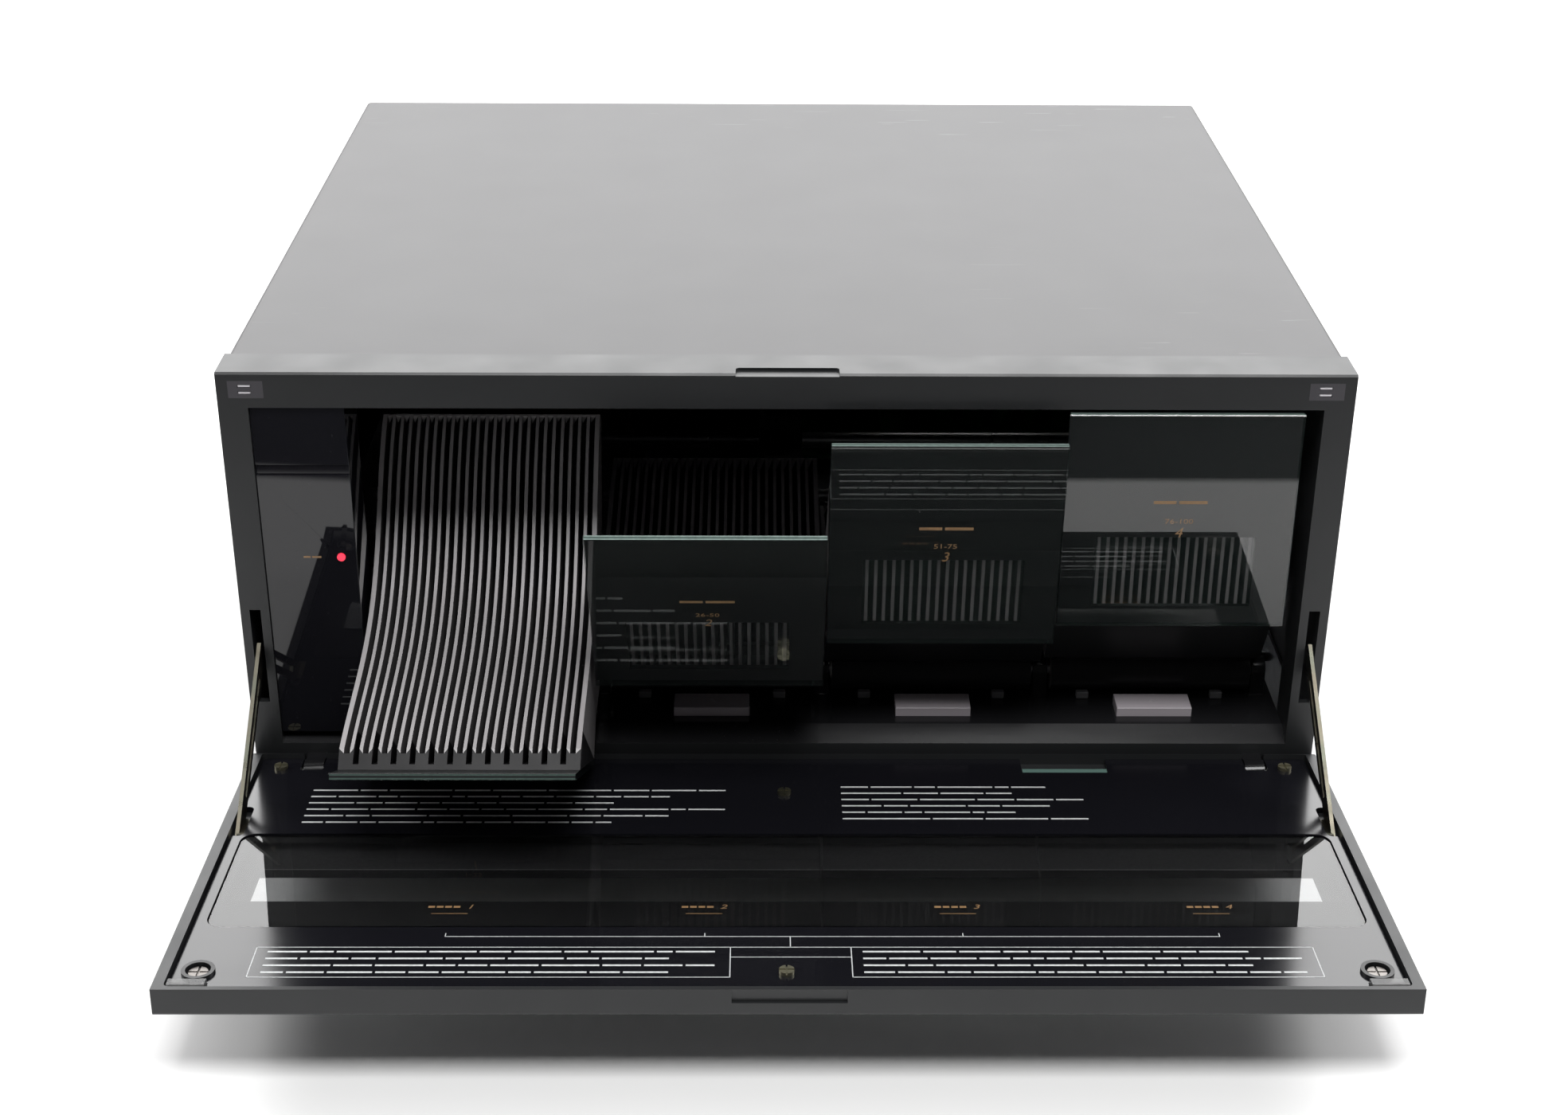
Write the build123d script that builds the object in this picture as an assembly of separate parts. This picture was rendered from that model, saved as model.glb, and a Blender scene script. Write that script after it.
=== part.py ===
"""Disc changer with a drop-down front door and four swing-out disc racks.

Millimetres. X runs left to right, Y front to back, Z up, with the feet on Z = 0.
Everything is drawn with the front plane of the bezel at Y = 0 and moved to the
middle of its depth at the end. The door is drawn shut and the racks are drawn
home, and each is then turned about its own pivot to where it rests.
"""
import os
from math import cos, radians, sin, sqrt

from build123d import *

# ---- overall ---------------------------------------------------------------
WIDTH = 435.0            # bezel and door, side to side
HEIGHT = 193.0           # floor to the top of the bezel
DEPTH = 375.0            # bezel front plane to the rear edge of the cover
FOOT_H = 13.0            # floor to the underside of the housing
BEZEL_D = 19.6           # bezel, front to back
SIDE_STEP = 1.0          # the cover stands in from the bezel on each side
SHEET = 1.2              # cover, base and rear panel sheet
SEAM = 0.8               # open line between the bezel and the cover

# ---- opening and lower console ---------------------------------------------
BEZEL_SIDE = 11.5        # bezel beside the opening
OPEN_W = WIDTH - 2 * BEZEL_SIDE
TOP_RAIL = 14.4          # bezel above the opening
SILL_Z = 29.7            # top of the upright part of the lower rail
SILL_RUN = 8.0           # slope of the lower rail, front to back
DECK_Z = 34.4            # top of the button deck
DECK_T = 3.0
DECK_END = 62.0          # rear edge of the button deck
RAIL_T = 3.0             # wall of the lower rail
NOTCH_W = 39.6           # finger notch
NOTCH_D = 6.3
NOTCH_H = 1.1

# ---- racks -----------------------------------------------------------------
STRIP_SPACE = 37.35      # opening left of the racks
RIGHT_SPACE = 6.25       # opening right of the racks
RACK_PITCH = (OPEN_W - STRIP_SPACE - RIGHT_SPACE) / 4
RACK_1_X = -OPEN_W / 2 + STRIP_SPACE + RACK_PITCH / 2
RACK_GAP = 1.7           # between two racks
RACK_W = RACK_PITCH - RACK_GAP
PIVOT_Y = 37.7
PIVOT_Z = 44.3
FACE_R = 39.0            # pivot to the front face of a rack panel
PANEL_T = 2.7
PANEL_CLEAR = 1.6        # panel to the top of the opening
PANEL_TOP = HEIGHT - TOP_RAIL - PANEL_CLEAR - PIVOT_Z  # above the pivot
TALL = PANEL_TOP / 132.7  # all other heights of a rack follow its panel
PANEL_LOW = 41.0 * TALL
OPEN_FULL = 61.75        # degrees a rack swings out
OPEN_2 = 24.67           # second rack as it stands
OPEN_3 = 7.36            # third rack as it stands
SLOTS = 25
RACK_EDGE = 1.2          # rack side beyond the outer slots
SLOT_PITCH = (RACK_W - 2 * RACK_EDGE) / SLOTS
FIN_T = 1.3
SKIN = 2.0               # moulded wall under and in front of the slots
HUB_R = 9.0
VIEW_SIDE = 13.6         # wall beside the window behind the panel
VIEW_W = RACK_W - 2 * VIEW_SIDE
VIEW_LOW = 48.7 * TALL
VIEW_HIGH = 79.4 * TALL
AXLE_R = 3.0
RUN = 0.15               # running clearance on a radius
SLEEVE_T = 1.35
POST_W = 6.0
POST_SINK = 2.6          # axle end inside a post
END_CLEAR = 0.5

# ---- eject buttons ---------------------------------------------------------
BUTTON_W = 31.2
BUTTON_D = 12.0
BUTTON_Y = 14.6
BUTTON_RISE = 3.6
BUTTON_GAP = 0.3
BUTTON_LIP = 1.4

# ---- door ------------------------------------------------------------------
DOOR_GAP = 0.5           # door inner face to the bezel when shut
DOOR_T = 10.7
HINGE_R = 7.5            # hinge axis to the inner face and to the lower end
HINGE_Z = 20.7
DOOR_SWING = 85.9        # degrees from shut to the open stop
DOOR_RIM = 4.0
DOOR_RIM_TOP = 2.0
DOOR_WALL = 2.5
DOOR_ROUND = 1.5
LINER_SINK = 2.5
LINER_T = 2.5
SEAT = 4.0               # ledge the liner lies on
LINE_GAP = 0.4           # dark line round the liner
GLASS_SIDE = 4.1         # liner beside the glass
GLASS_LEDGE = 7.0        # glass beyond the window in the shell
GLASS_W = WIDTH - 2 * (DOOR_RIM + LINE_GAP + GLASS_SIDE)
WINDOW_W = GLASS_W - 2 * GLASS_LEDGE
WINDOW_LOW = 93.2
WINDOW_HIGH = 136.0
GLASS_LOW = 81.0
GLASS_HIGH = 148.8
GLASS_SINK = 0.6         # glass below the liner
GLASS_GAP = 0.5          # open line round the glass
DOOR_NOTCH = 5.5         # finger recess in the free end, from the inner face
DOOR_NOTCH_IN = 1.2
STAY_X = WIDTH / 2 - 5.8
STAY_T = 1.5
STAY_W = 8.5
STAY_FOOT = 53.0         # hinge to the stay's foot, up the shut door
STAY_END = (-5.2, 50.0)  # far end from the hinge, up and back with the door shut
STAY_SKIN = 3.0          # bezel in front of the deeper part of the passage
STAY_SLOT_W = 4.4
EAR_X = WIDTH / 2 - 25.5
EAR_W = 8.0
PIN_R = 2.0
CUP_X = WIDTH / 2 - 13.1
CUP_DROP = 14.8          # top of the door to the middle of a striker cup
CUP_R = 5.8
PAD_X = WIDTH / 2 - 11.2  # latch plate and corner pad, out from the middle
PAD_W = 13.4
PAD_H = 5.4
PAD_DROP = 5.2
LATCH_H = 7.0
LATCH_DROP = 6.9
LATCH_T = 1.6

# ---- mechanism -------------------------------------------------------------
ROD_R = 4.0
MECH_Y = PIVOT_Y + 130.3  # front of the carriage, behind the racks
ROD_Y = (MECH_Y + 8.0, DEPTH - 89.0)
ROD_Z = 40.0
SCREW_R = 3.5
SCREW_Y = (ROD_Y[0] + ROD_Y[1]) / 2
SCREW_Z = 34.0
BRACKET_X = WIDTH / 2 - 14.5
BRACKET_T = 2.0
PULLEY_R = 9.0
PULLEY_T = 4.0
MOTOR_Y = DEPTH - 63.0
MOTOR_Z = 34.0
MOTOR_PULLEY_R = 4.0
BELT_T = 1.0
BELT_PLAY = 0.05
TURN_Y = SCREW_Y + 1.0
TURN_Z = 112.0
DRIVE_HALF = 11.0        # carriage, half its width

HALF = WIDTH / 2
COVER_W = WIDTH - 2 * SIDE_STEP
INNER_W = COVER_W - 2 * SHEET
BASE_Z = FOOT_H
FLOOR_Z = BASE_Z + SHEET
COVER_Y = BEZEL_D + SEAM
COVER_TOP = HEIGHT - 0.4
OPEN_TOP = HEIGHT - TOP_RAIL
HINGE_Y = -DOOR_GAP - HINGE_R
DOOR_IN = -DOOR_GAP
DOOR_OUT = DOOR_IN - DOOR_T
DOOR_LOW = HINGE_Z - HINGE_R
LINER_FACE = DOOR_IN - LINER_SINK
LINER_BACK = LINER_FACE - LINER_T
SKIN_IN = DOOR_OUT + DOOR_WALL
BORE_AXLE = AXLE_R + RUN
SLEEVE_R = BORE_AXLE + SLEEVE_T
BORE_SLEEVE = SLEEVE_R + RUN
RACK_X = [RACK_1_X + i * RACK_PITCH for i in range(4)]
POST_X = [RACK_X[0] - RACK_PITCH / 2 + i * RACK_PITCH for i in range(5)]

DOOR_AXIS = Axis((0, HINGE_Y, HINGE_Z), (1, 0, 0))
RACK_AXIS = Axis((0, PIVOT_Y, PIVOT_Z), (1, 0, 0))


def block(x0, x1, y0, y1, z0, z1):
    """A plain box between two corners."""
    return Pos((x0 + x1) / 2, (y0 + y1) / 2, (z0 + z1) / 2) * Box(x1 - x0, y1 - y0, z1 - z0)


def bar_x(r, x0, x1, y, z):
    """A round bar along X."""
    return Pos((x0 + x1) / 2, y, z) * Rot(0, 90, 0) * Cylinder(r, x1 - x0)


def bar_y(r, x, y0, y1, z):
    """A round bar along Y."""
    return Pos(x, (y0 + y1) / 2, z) * Rot(90, 0, 0) * Cylinder(r, y1 - y0)


def bar_z(r, x, y, z0, z1):
    """A round bar along Z."""
    return Pos(x, y, (z0 + z1) / 2) * Cylinder(r, z1 - z0)


def profile_x(points, x0, x1):
    """A closed outline in Y and Z, given thickness along X."""
    wire = Polyline(*[(x0, y, z) for y, z in points], close=True)
    return extrude(make_face(wire), x1 - x0, dir=(1, 0, 0))


def slab(x0, x1, z0, z1, r, y0, y1):
    """A round-cornered plate standing in the XZ plane."""
    flat = RectangleRounded(x1 - x0, z1 - z0, r)
    plate = extrude(flat, y1 - y0)
    return Pos((x0 + x1) / 2, y1, (z0 + z1) / 2) * Rot(90, 0, 0) * plate


def edges_along(shape, axis, test):
    """Edges parallel to an axis whose middle passes the test."""
    found = shape.edges().filter_by(axis)
    return [e for e in found if test(e.center())]


# ---- housing ---------------------------------------------------------------
def make_cover():
    outer = block(-COVER_W / 2, COVER_W / 2, COVER_Y, DEPTH, FLOOR_Z, COVER_TOP)
    long_edges = edges_along(outer, Axis.Y, lambda c: c.Z > COVER_TOP - 1)
    outer = fillet(long_edges, 2.4)
    inner = block(-INNER_W / 2, INNER_W / 2, COVER_Y - 1, DEPTH + 1, 0, COVER_TOP - SHEET)
    top_edges = edges_along(inner, Axis.Y, lambda c: c.Z > COVER_TOP - 2)
    shape = outer - fillet(top_edges, 1.2)
    for x in (-1, 1):
        for y in (COVER_Y + 60, DEPTH - 60):
            shape -= bar_x(2.1, min(x * SIDE_IN, x * SIDE_OUT), max(x * SIDE_IN, x * SIDE_OUT), y, SCREW_LINE_Z)
    return shape


SCREW_LINE_Z = 26.0
SIDE_IN = HALF - 10.0    # side holes are drilled between these two
SIDE_OUT = HALF + 10.0


def make_cover_screws():
    shape = None
    for x in (-1, 1):
        for y in (COVER_Y + 60, DEPTH - 60):
            tip = x * (INNER_W / 2 - SHEET - 4)
            under = x * COVER_W / 2
            top = x * (COVER_W / 2 + 1.0)
            shank = bar_x(2.0, min(tip, under), max(tip, under), y, SCREW_LINE_Z)
            head = bar_x(3.8, min(under, top), max(under, top), y, SCREW_LINE_Z)
            head -= block(min(under + x * 0.4, top + x), max(under + x * 0.4, top + x),
                          y - 3, y + 3, SCREW_LINE_Z - 0.5, SCREW_LINE_Z + 0.5)
            one = shank + head
            shape = one if shape is None else shape + one
    return shape


def make_base():
    half = INNER_W / 2
    wall_h = 24.0
    shape = block(-half, half, BEZEL_D, DEPTH - SHEET, BASE_Z, FLOOR_Z)
    for x in (-1, 1):
        shape += block(min(x * half, x * (half - SHEET)), max(x * half, x * (half - SHEET)),
                       BEZEL_D + SEAM, DEPTH - SHEET, BASE_Z, BASE_Z + wall_h)
    for x in (-1, 1):
        for y in (COVER_Y + 60, DEPTH - 60):
            shape -= bar_x(2.0, min(x * SIDE_IN, x * SIDE_OUT), max(x * SIDE_IN, x * SIDE_OUT), y, SCREW_LINE_Z)
    for row in range(5):
        for col in range(12):
            x = -FOOT_X + 10 + col * 2 * (FOOT_X - 10) / 11
            y = 80 + row * 16
            shape -= block(x - 10, x + 10, y - 2, y + 2, BASE_Z - 1, FLOOR_Z + 1)
    for x in (-1, 1):
        for y in FOOT_Y:
            shape -= bar_z(2.0, x * FOOT_X, y, BASE_Z - 1, FLOOR_Z + 1)
    return shape


FOOT_X = HALF - 42.5
FOOT_Y = (48.0, DEPTH - 45.0)


def make_feet():
    shape = None
    for x in (-1, 1):
        for y in FOOT_Y:
            cup = bar_z(22, x * FOOT_X, y, 0, FOOT_H)
            low = cup.edges().sort_by(Axis.Z)[0]
            cup = chamfer(low, 1.5)
            cup += bar_z(2.0, x * FOOT_X, y, FOOT_H, FLOOR_Z)
            shape = cup if shape is None else shape + cup
    return shape


def make_rear_panel():
    shape = block(-INNER_W / 2, INNER_W / 2, DEPTH - SHEET, DEPTH, FLOOR_Z, COVER_TOP - SHEET)
    upper = edges_along(shape, Axis.Y, lambda c: c.Z > HEIGHT / 2)
    shape = fillet(upper, 1.2)
    for x in JACK_X:
        for z in JACK_Z:
            shape -= bar_y(4.5, x, DEPTH - 3, DEPTH + 1, z)
    shape -= block(INLET_X - 12, INLET_X + 12, DEPTH - 3, DEPTH + 1, INLET_Z - 8, INLET_Z + 8)
    for row in range(7):
        z = HEIGHT - 73 + row * 8
        shape -= block(JACK_X[0] - 90, JACK_X[0], DEPTH - 3, DEPTH + 1, z - 1.5, z + 1.5)
    return shape


JACK_X = (HALF - 67.5, HALF - 51.5)
JACK_Z = (44.0, 60.0)
JACK_OUT = 9.0
INLET_X = -HALF + 47.5
INLET_Z = 48.0


def make_audio_jacks():
    shape = None
    for x in JACK_X:
        for z in JACK_Z:
            jack = bar_y(4.5, x, DEPTH - SHEET, DEPTH + JACK_OUT, z)
            jack += bar_y(6.5, x, DEPTH - SHEET - 4, DEPTH - SHEET, z)
            jack -= bar_y(1.7, x, DEPTH + 1, DEPTH + JACK_OUT + 1, z)
            shape = jack if shape is None else shape + jack
    return shape


def make_mains_inlet():
    face = DEPTH - SHEET
    shape = block(INLET_X - 12, INLET_X + 12, face - 16, DEPTH + 1.5, INLET_Z - 8, INLET_Z + 8)
    shape += block(INLET_X - 17, INLET_X + 17, face - 2, face, INLET_Z - 11, INLET_Z + 11)
    shape -= block(INLET_X - 9, INLET_X + 9, face - 8, DEPTH + 2, INLET_Z - 5, INLET_Z + 5)
    for dx in (-4.5, 4.5):
        shape += bar_y(1.4, INLET_X + dx, face - 9, DEPTH - 1, INLET_Z)
    return shape


def make_bezel():
    low = BASE_Z
    shape = block(-HALF, HALF, 0, BEZEL_D, low, HEIGHT)
    shape = chamfer(edges_along(shape, Axis.X, lambda c: c.Z > HEIGHT - 1 and c.Y < 1), 0.8)
    shape -= block(-OPEN_W / 2, OPEN_W / 2, -1, BEZEL_D + 1, SILL_Z, OPEN_TOP)
    shape -= block(-OPEN_W / 2, OPEN_W / 2, RAIL_T, BEZEL_D + 1, low + RAIL_T, SILL_Z + 1)
    slope = [(0, SILL_Z), (SILL_RUN, DECK_Z), (SILL_RUN, DECK_Z - DECK_T),
             (RAIL_T, SILL_Z - RAIL_T), (0, SILL_Z - RAIL_T)]
    shape += profile_x(slope, -OPEN_W / 2, OPEN_W / 2)
    # seats for the deck, joined to the sides of the opening
    for x in (-1, 1):
        shape += block(min(x * OPEN_W / 2, x * (OPEN_W / 2 - 2)), max(x * OPEN_W / 2, x * (OPEN_W / 2 - 2)),
                       RAIL_T, BEZEL_D, BASE_Z, DECK_Z - DECK_T)
    # finger notch
    notch = extrude(RectangleRounded(NOTCH_W, 2 * NOTCH_D, 1.5), NOTCH_H + 1)
    shape -= Pos(0, 0, HEIGHT - NOTCH_H) * notch
    for x in (-1, 1):
        # passage for the door stay, deeper behind the front skin
        shape -= block(x * STAY_X - STAY_SLOT_W / 2, x * STAY_X + STAY_SLOT_W / 2, -1, BEZEL_D + 1,
                       HINGE_Z + 28.4, HINGE_Z + 70.6)
        shape -= block(x * STAY_X - STAY_SLOT_W / 2, x * STAY_X + STAY_SLOT_W / 2, STAY_SKIN, BEZEL_D + 1,
                       HINGE_Z + 13.4, HINGE_Z + 70.6)
        # hinge ear
        ear = bar_x(HINGE_R - 2.2, x * EAR_X - EAR_W / 2, x * EAR_X + EAR_W / 2, HINGE_Y, HINGE_Z)
        ear += block(x * EAR_X - EAR_W / 2, x * EAR_X + EAR_W / 2, HINGE_Y, 0,
                     HINGE_Z - 4.2, HINGE_Z + 4.2)
        ear -= bar_x(PIN_R + RUN, x * EAR_X - EAR_W, x * EAR_X + EAR_W, HINGE_Y, HINGE_Z)
        shape += ear
        # seat for the latch plate
        shape -= latch_block(x, 0.0)
    # groove where the cover's edge and the bezel meet, and tongue into the cover
    tongue = block(-INNER_W / 2 + 4, INNER_W / 2 - 4, BEZEL_D, BEZEL_D + 6, OPEN_TOP + 6, COVER_TOP - SHEET)
    shape += tongue
    return shape


def latch_block(side, extra):
    mid = side * PAD_X
    return block(mid - PAD_W / 2 - extra, mid + PAD_W / 2 + extra, -1, LATCH_T,
                 HEIGHT - LATCH_DROP - LATCH_H / 2 - extra, HEIGHT - LATCH_DROP + LATCH_H / 2 + extra)


def make_latch_plate(side):
    mid = side * PAD_X
    z = HEIGHT - LATCH_DROP
    shape = block(mid - PAD_W / 2, mid + PAD_W / 2, 0, LATCH_T, z - LATCH_H / 2, z + LATCH_H / 2)
    for dz in (-1.4, 1.4):
        shape -= block(mid - 3, mid + 2, -1, 1.0, z + dz - 0.6, z + dz + 0.6)
    return shape


def make_deck():
    """Button deck with the posts that carry the rack axles."""
    half = OPEN_W / 2
    shape = block(-half, half, SILL_RUN, DECK_END, DECK_Z - DECK_T, DECK_Z)
    # legs down to the base
    for x in LEG_X:
        shape += block(x - 3, x + 3, 44, 56, FLOOR_Z, DECK_Z)
    for x in RACK_X:
        shape -= block(x - BUTTON_W / 2 - BUTTON_GAP, x + BUTTON_W / 2 + BUTTON_GAP,
                       BUTTON_Y - BUTTON_GAP, BUTTON_Y + BUTTON_D + BUTTON_GAP, 20, DECK_Z + 1)
    for x in POST_X:
        post = block(x - POST_W / 2, x + POST_W / 2, PIVOT_Y - 5.2, PIVOT_Y + 5.2, DECK_Z, PIVOT_Z + 5.2)
        post = fillet(edges_along(post, Axis.X, lambda c: c.Z > PIVOT_Z), 5.0)
        shape += post
        shape -= bar_x(BORE_AXLE, x - POST_W, x + POST_W, PIVOT_Y, PIVOT_Z)
    return shape


def make_button(x):
    """Eject button with a lip that keeps it under the deck."""
    low = DECK_Z - DECK_T - 5.4
    shape = block(x - BUTTON_W / 2, x + BUTTON_W / 2, BUTTON_Y, BUTTON_Y + BUTTON_D, low, DECK_Z + BUTTON_RISE)
    shape = chamfer(edges_along(shape, Axis.X, lambda c: c.Z > DECK_Z), 0.3)
    lip_z = DECK_Z - DECK_T - 0.5
    shape += block(x - BUTTON_W / 2 - BUTTON_LIP, x + BUTTON_W / 2 + BUTTON_LIP,
                   BUTTON_Y - BUTTON_LIP, BUTTON_Y + BUTTON_D + BUTTON_LIP, lip_z - 1.6, lip_z)
    return shape


LEG_X = [i * (FOOT_X - 25) / 2 for i in (-2, -1, 0, 1, 2)]
STRIP_L = -OPEN_W / 2
STRIP_R = RACK_1_X - RACK_W / 2 - 1.8
STRIP_Y = 1.2


def make_strip():
    """Fixed panel at the left of the racks, open at the back."""
    low = DECK_Z
    top = OPEN_TOP
    shape = block(STRIP_L, STRIP_R, STRIP_Y, STRIP_Y + 2.4, low, top)
    shape += block(STRIP_L, STRIP_L + 2, STRIP_Y, 26, low, top)
    shape += block(STRIP_R - 2, STRIP_R, STRIP_Y, 26, low, top)
    shape -= block(STRIP_L - 1, STRIP_R + 1, 0, STRIP_Y + 0.8, top - 28.6, top - 24.4)
    shape -= bar_y(LED_R, LED_X, 0, 10, LED_Z)
    return shape


LED_R = 1.6
LED_X = STRIP_R - 6.0
LED_Z = 114.4


def make_led():
    shape = bar_y(LED_R, LED_X, STRIP_Y - 0.6, STRIP_Y + 2.4, LED_Z)
    shape += bar_y(LED_R + 0.8, LED_X, STRIP_Y + 2.4, STRIP_Y + 6, LED_Z)
    return shape


# ---- door, drawn shut ------------------------------------------------------
def make_door_shell():
    top = HEIGHT
    shape = block(-HALF, HALF, DOOR_OUT, DOOR_IN, DOOR_LOW, top)
    lower_in = edges_along(shape, Axis.X, lambda c: c.Z < DOOR_LOW + 1 and c.Y > DOOR_IN - 1)
    shape = fillet(lower_in, HINGE_R - 0.01)
    outer = edges_along(shape, Axis.X, lambda c: c.Y < DOOR_OUT + 1)
    shape = fillet(outer, DOOR_ROUND)
    pocket_half = HALF - DOOR_RIM
    pocket_low = DOOR_LOW + DOOR_RIM + 1.3
    pocket_top = top - DOOR_RIM_TOP
    shape -= slab(-pocket_half, pocket_half, pocket_low, pocket_top, 2.0, LINER_BACK, DOOR_IN + 1)
    shape -= slab(-pocket_half + SEAT, pocket_half - SEAT, HINGE_Z + PIN_R + 3.0, pocket_top - SEAT, 1.5,
                  SKIN_IN, LINER_BACK + 1)
    # bosses under the screws, cups, pads and lens
    for x, z in LINER_SCREWS:
        shape += bar_y(4.5, x, SKIN_IN, LINER_BACK, z)
        shape -= bar_y(1.4, x, SKIN_IN, LINER_BACK + 1, z)
    for side in (-1, 1):
        shape += bar_y(CUP_R + 2, side * CUP_X, SKIN_IN, LINER_BACK, top - CUP_DROP)
        shape -= bar_y(1.6, side * CUP_X, SKIN_IN, LINER_BACK + 1, top - CUP_DROP)
        a = side * (STAY_X - 4.2)
        b = side * min(STAY_X + 7, pocket_half)
        shape += block(min(a, b), max(a, b), SKIN_IN, LINER_BACK, HINGE_Z + 42, HINGE_Z + 61.2)
    shape += block(LENS_X - 20, LENS_X + 20, SKIN_IN, LINER_BACK, pocket_low, LENS_Z + 5)
    shape -= block(-WINDOW_W / 2, WINDOW_W / 2, DOOR_OUT - 1, SKIN_IN + 1, WINDOW_LOW, WINDOW_HIGH)
    shape -= profile_x([(DOOR_IN, top), (DOOR_IN, top + 1), (DOOR_IN - DOOR_NOTCH, top + 1),
                        (DOOR_IN - DOOR_NOTCH, top - DOOR_NOTCH_IN)], -NOTCH_W / 2, NOTCH_W / 2)
    for side in (-1, 1):
        x = side * EAR_X
        shape -= block(x - EAR_W / 2 - END_CLEAR, x + EAR_W / 2 + END_CLEAR, DOOR_OUT - 1, DOOR_IN + 1,
                       DOOR_LOW - 1, HINGE_Z + HINGE_R + 0.5)
        shape -= bar_x(PIN_R, x - EAR_W / 2 - PIN_GRIP, x + EAR_W / 2 + PIN_GRIP, HINGE_Y, HINGE_Z)
    for x, z, w, h in KEYS.values():
        shape -= slab(x - w / 2 - 0.25, x + w / 2 + 0.25, z - h / 2 - 0.25, z + h / 2 + 0.25, 0.8,
                      DOOR_OUT - 1, SKIN_IN + 1)
    shape -= slab(DISPLAY_X - DISPLAY_W / 2, DISPLAY_X + DISPLAY_W / 2, DISPLAY_Z - DISPLAY_H / 2,
                  DISPLAY_Z + DISPLAY_H / 2, 1.5, DOOR_OUT - 1, DOOR_OUT + 1.0)
    return shape


PIN_GRIP = 6.0
LENS_X = 113.6
LENS_Z = 28.4
LINER_SCREWS = [(-HALF + 13.0, 27.0), (HALF - 14.1, 27.0), (-0.6, 48.3), (-0.9, HEIGHT - 14.4)]
DISPLAY_X = 0.0
DISPLAY_W = 150.0
DISPLAY_H = 26.0
DISPLAY_Z = 66.0
KEYS = {
    "power_key": (-HALF + 39.5, 62.0, 26.0, 9.0),
    "play_key": (HALF - 85.5, 62.0, 28.0, 9.0),
    "stop_key": (HALF - 53.5, 62.0, 20.0, 9.0),
    "skip_key": (HALF - 27.5, 62.0, 16.0, 9.0),
}
KEY_OUT = 1.4
KEY_TRAVEL = 1.2


def make_liner():
    half = HALF - DOOR_RIM - LINE_GAP
    low = DOOR_LOW + DOOR_RIM + 1.3 + LINE_GAP
    top = HEIGHT - DOOR_RIM_TOP - LINE_GAP
    shape = slab(-half, half, low, top, 2.0, LINER_BACK, LINER_FACE)
    shape -= slab(-GLASS_W / 2, GLASS_W / 2, GLASS_LOW, GLASS_HIGH, 6.0, LINER_BACK - 1, LINER_FACE + 1)
    for side in (-1, 1):
        a, b = sorted((side * (STAY_X - 3.2), side * (STAY_X + 6)))
        shape -= slab(a, b, HINGE_Z + 39, HINGE_Z + 62, 2.5, LINER_BACK - 1, LINER_FACE + 1)
        x = side * EAR_X
        shape -= block(x - EAR_W / 2 - END_CLEAR, x + EAR_W / 2 + END_CLEAR, LINER_BACK - 1, LINER_FACE + 1,
                       DOOR_LOW - 1, HINGE_Z + HINGE_R + 0.5)
        shape -= bar_y(CUP_R, side * CUP_X, LINER_BACK - 1, LINER_FACE + 1, HEIGHT - CUP_DROP)
        mid = side * PAD_X
        shape -= block(mid - PAD_W / 2, mid + PAD_W / 2, LINER_BACK - 1, LINER_FACE + 1,
                       HEIGHT - PAD_DROP - PAD_H / 2, HEIGHT)
    for x, z in LINER_SCREWS:
        shape -= bar_y(1.4, x, LINER_BACK - 1, LINER_FACE + 1, z)
    shape -= block(LENS_X - 17.5, LENS_X + 17.5, LINER_BACK - 1, LINER_FACE + 1, DOOR_LOW, LENS_Z + 2)
    return shape


def make_window():
    half = GLASS_W / 2 - GLASS_GAP
    return slab(-half, half, GLASS_LOW + GLASS_GAP, GLASS_HIGH - GLASS_GAP, 5.5,
                SKIN_IN, LINER_FACE - GLASS_SINK)


def make_display_lens():
    return slab(DISPLAY_X - DISPLAY_W / 2, DISPLAY_X + DISPLAY_W / 2, DISPLAY_Z - DISPLAY_H / 2,
                DISPLAY_Z + DISPLAY_H / 2, 1.5, DOOR_OUT, DOOR_OUT + 1.0)


def make_sensor_lens():
    return block(LENS_X - 17.2, LENS_X + 17.2, LINER_BACK, LINER_FACE - 0.4, LENS_Z - 1.8, LENS_Z + 1.8)


def make_stay(side):
    """Straight flat steel stay with a slot along its middle, drawn with the door shut."""
    x = side * STAY_X
    base = LINER_BACK - HINGE_Y
    up, back = STAY_END[0] - STAY_FOOT, STAY_END[1] - base
    length = sqrt(up * up + back * back)

    def point(run, off):
        return (HINGE_Y + base + (back * run - up * off) / length,
                HINGE_Z + STAY_FOOT + (up * run + back * off) / length)

    foot_half = STAY_W / 2 * length / back
    end_half = -STAY_W / 2 * length / up
    shape = profile_x([(LINER_BACK, HINGE_Z + STAY_FOOT - foot_half), (LINER_BACK, HINGE_Z + STAY_FOOT + foot_half),
                       (HINGE_Y + STAY_END[1] + end_half, HINGE_Z + STAY_END[0]),
                       (HINGE_Y + STAY_END[1] - end_half, HINGE_Z + STAY_END[0])],
                      x - STAY_T / 2, x + STAY_T / 2)
    shape -= profile_x([point(14, -1.3), point(14, 1.3), point(length - 10, 1.3), point(length - 10, -1.3)],
                       x - STAY_T, x + STAY_T)
    flange = block(min(x - side * 2.8, x), max(x - side * 2.8, x), LINER_BACK, LINER_BACK + STAY_T,
                   HINGE_Z + STAY_FOOT - foot_half + 0.5, HINGE_Z + STAY_FOOT + foot_half - 0.5)
    return shape + flange


def make_cup(side):
    x = side * CUP_X
    z = HEIGHT - CUP_DROP
    shape = bar_y(CUP_R, x, LINER_BACK, LINER_FACE + 1.2, z)
    shape -= bar_y(CUP_R - 1.4, x, LINER_BACK + 1.0, LINER_FACE + 2, z)
    shape -= bar_y(1.6, x, LINER_BACK - 1, LINER_FACE, z)
    return shape


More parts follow.
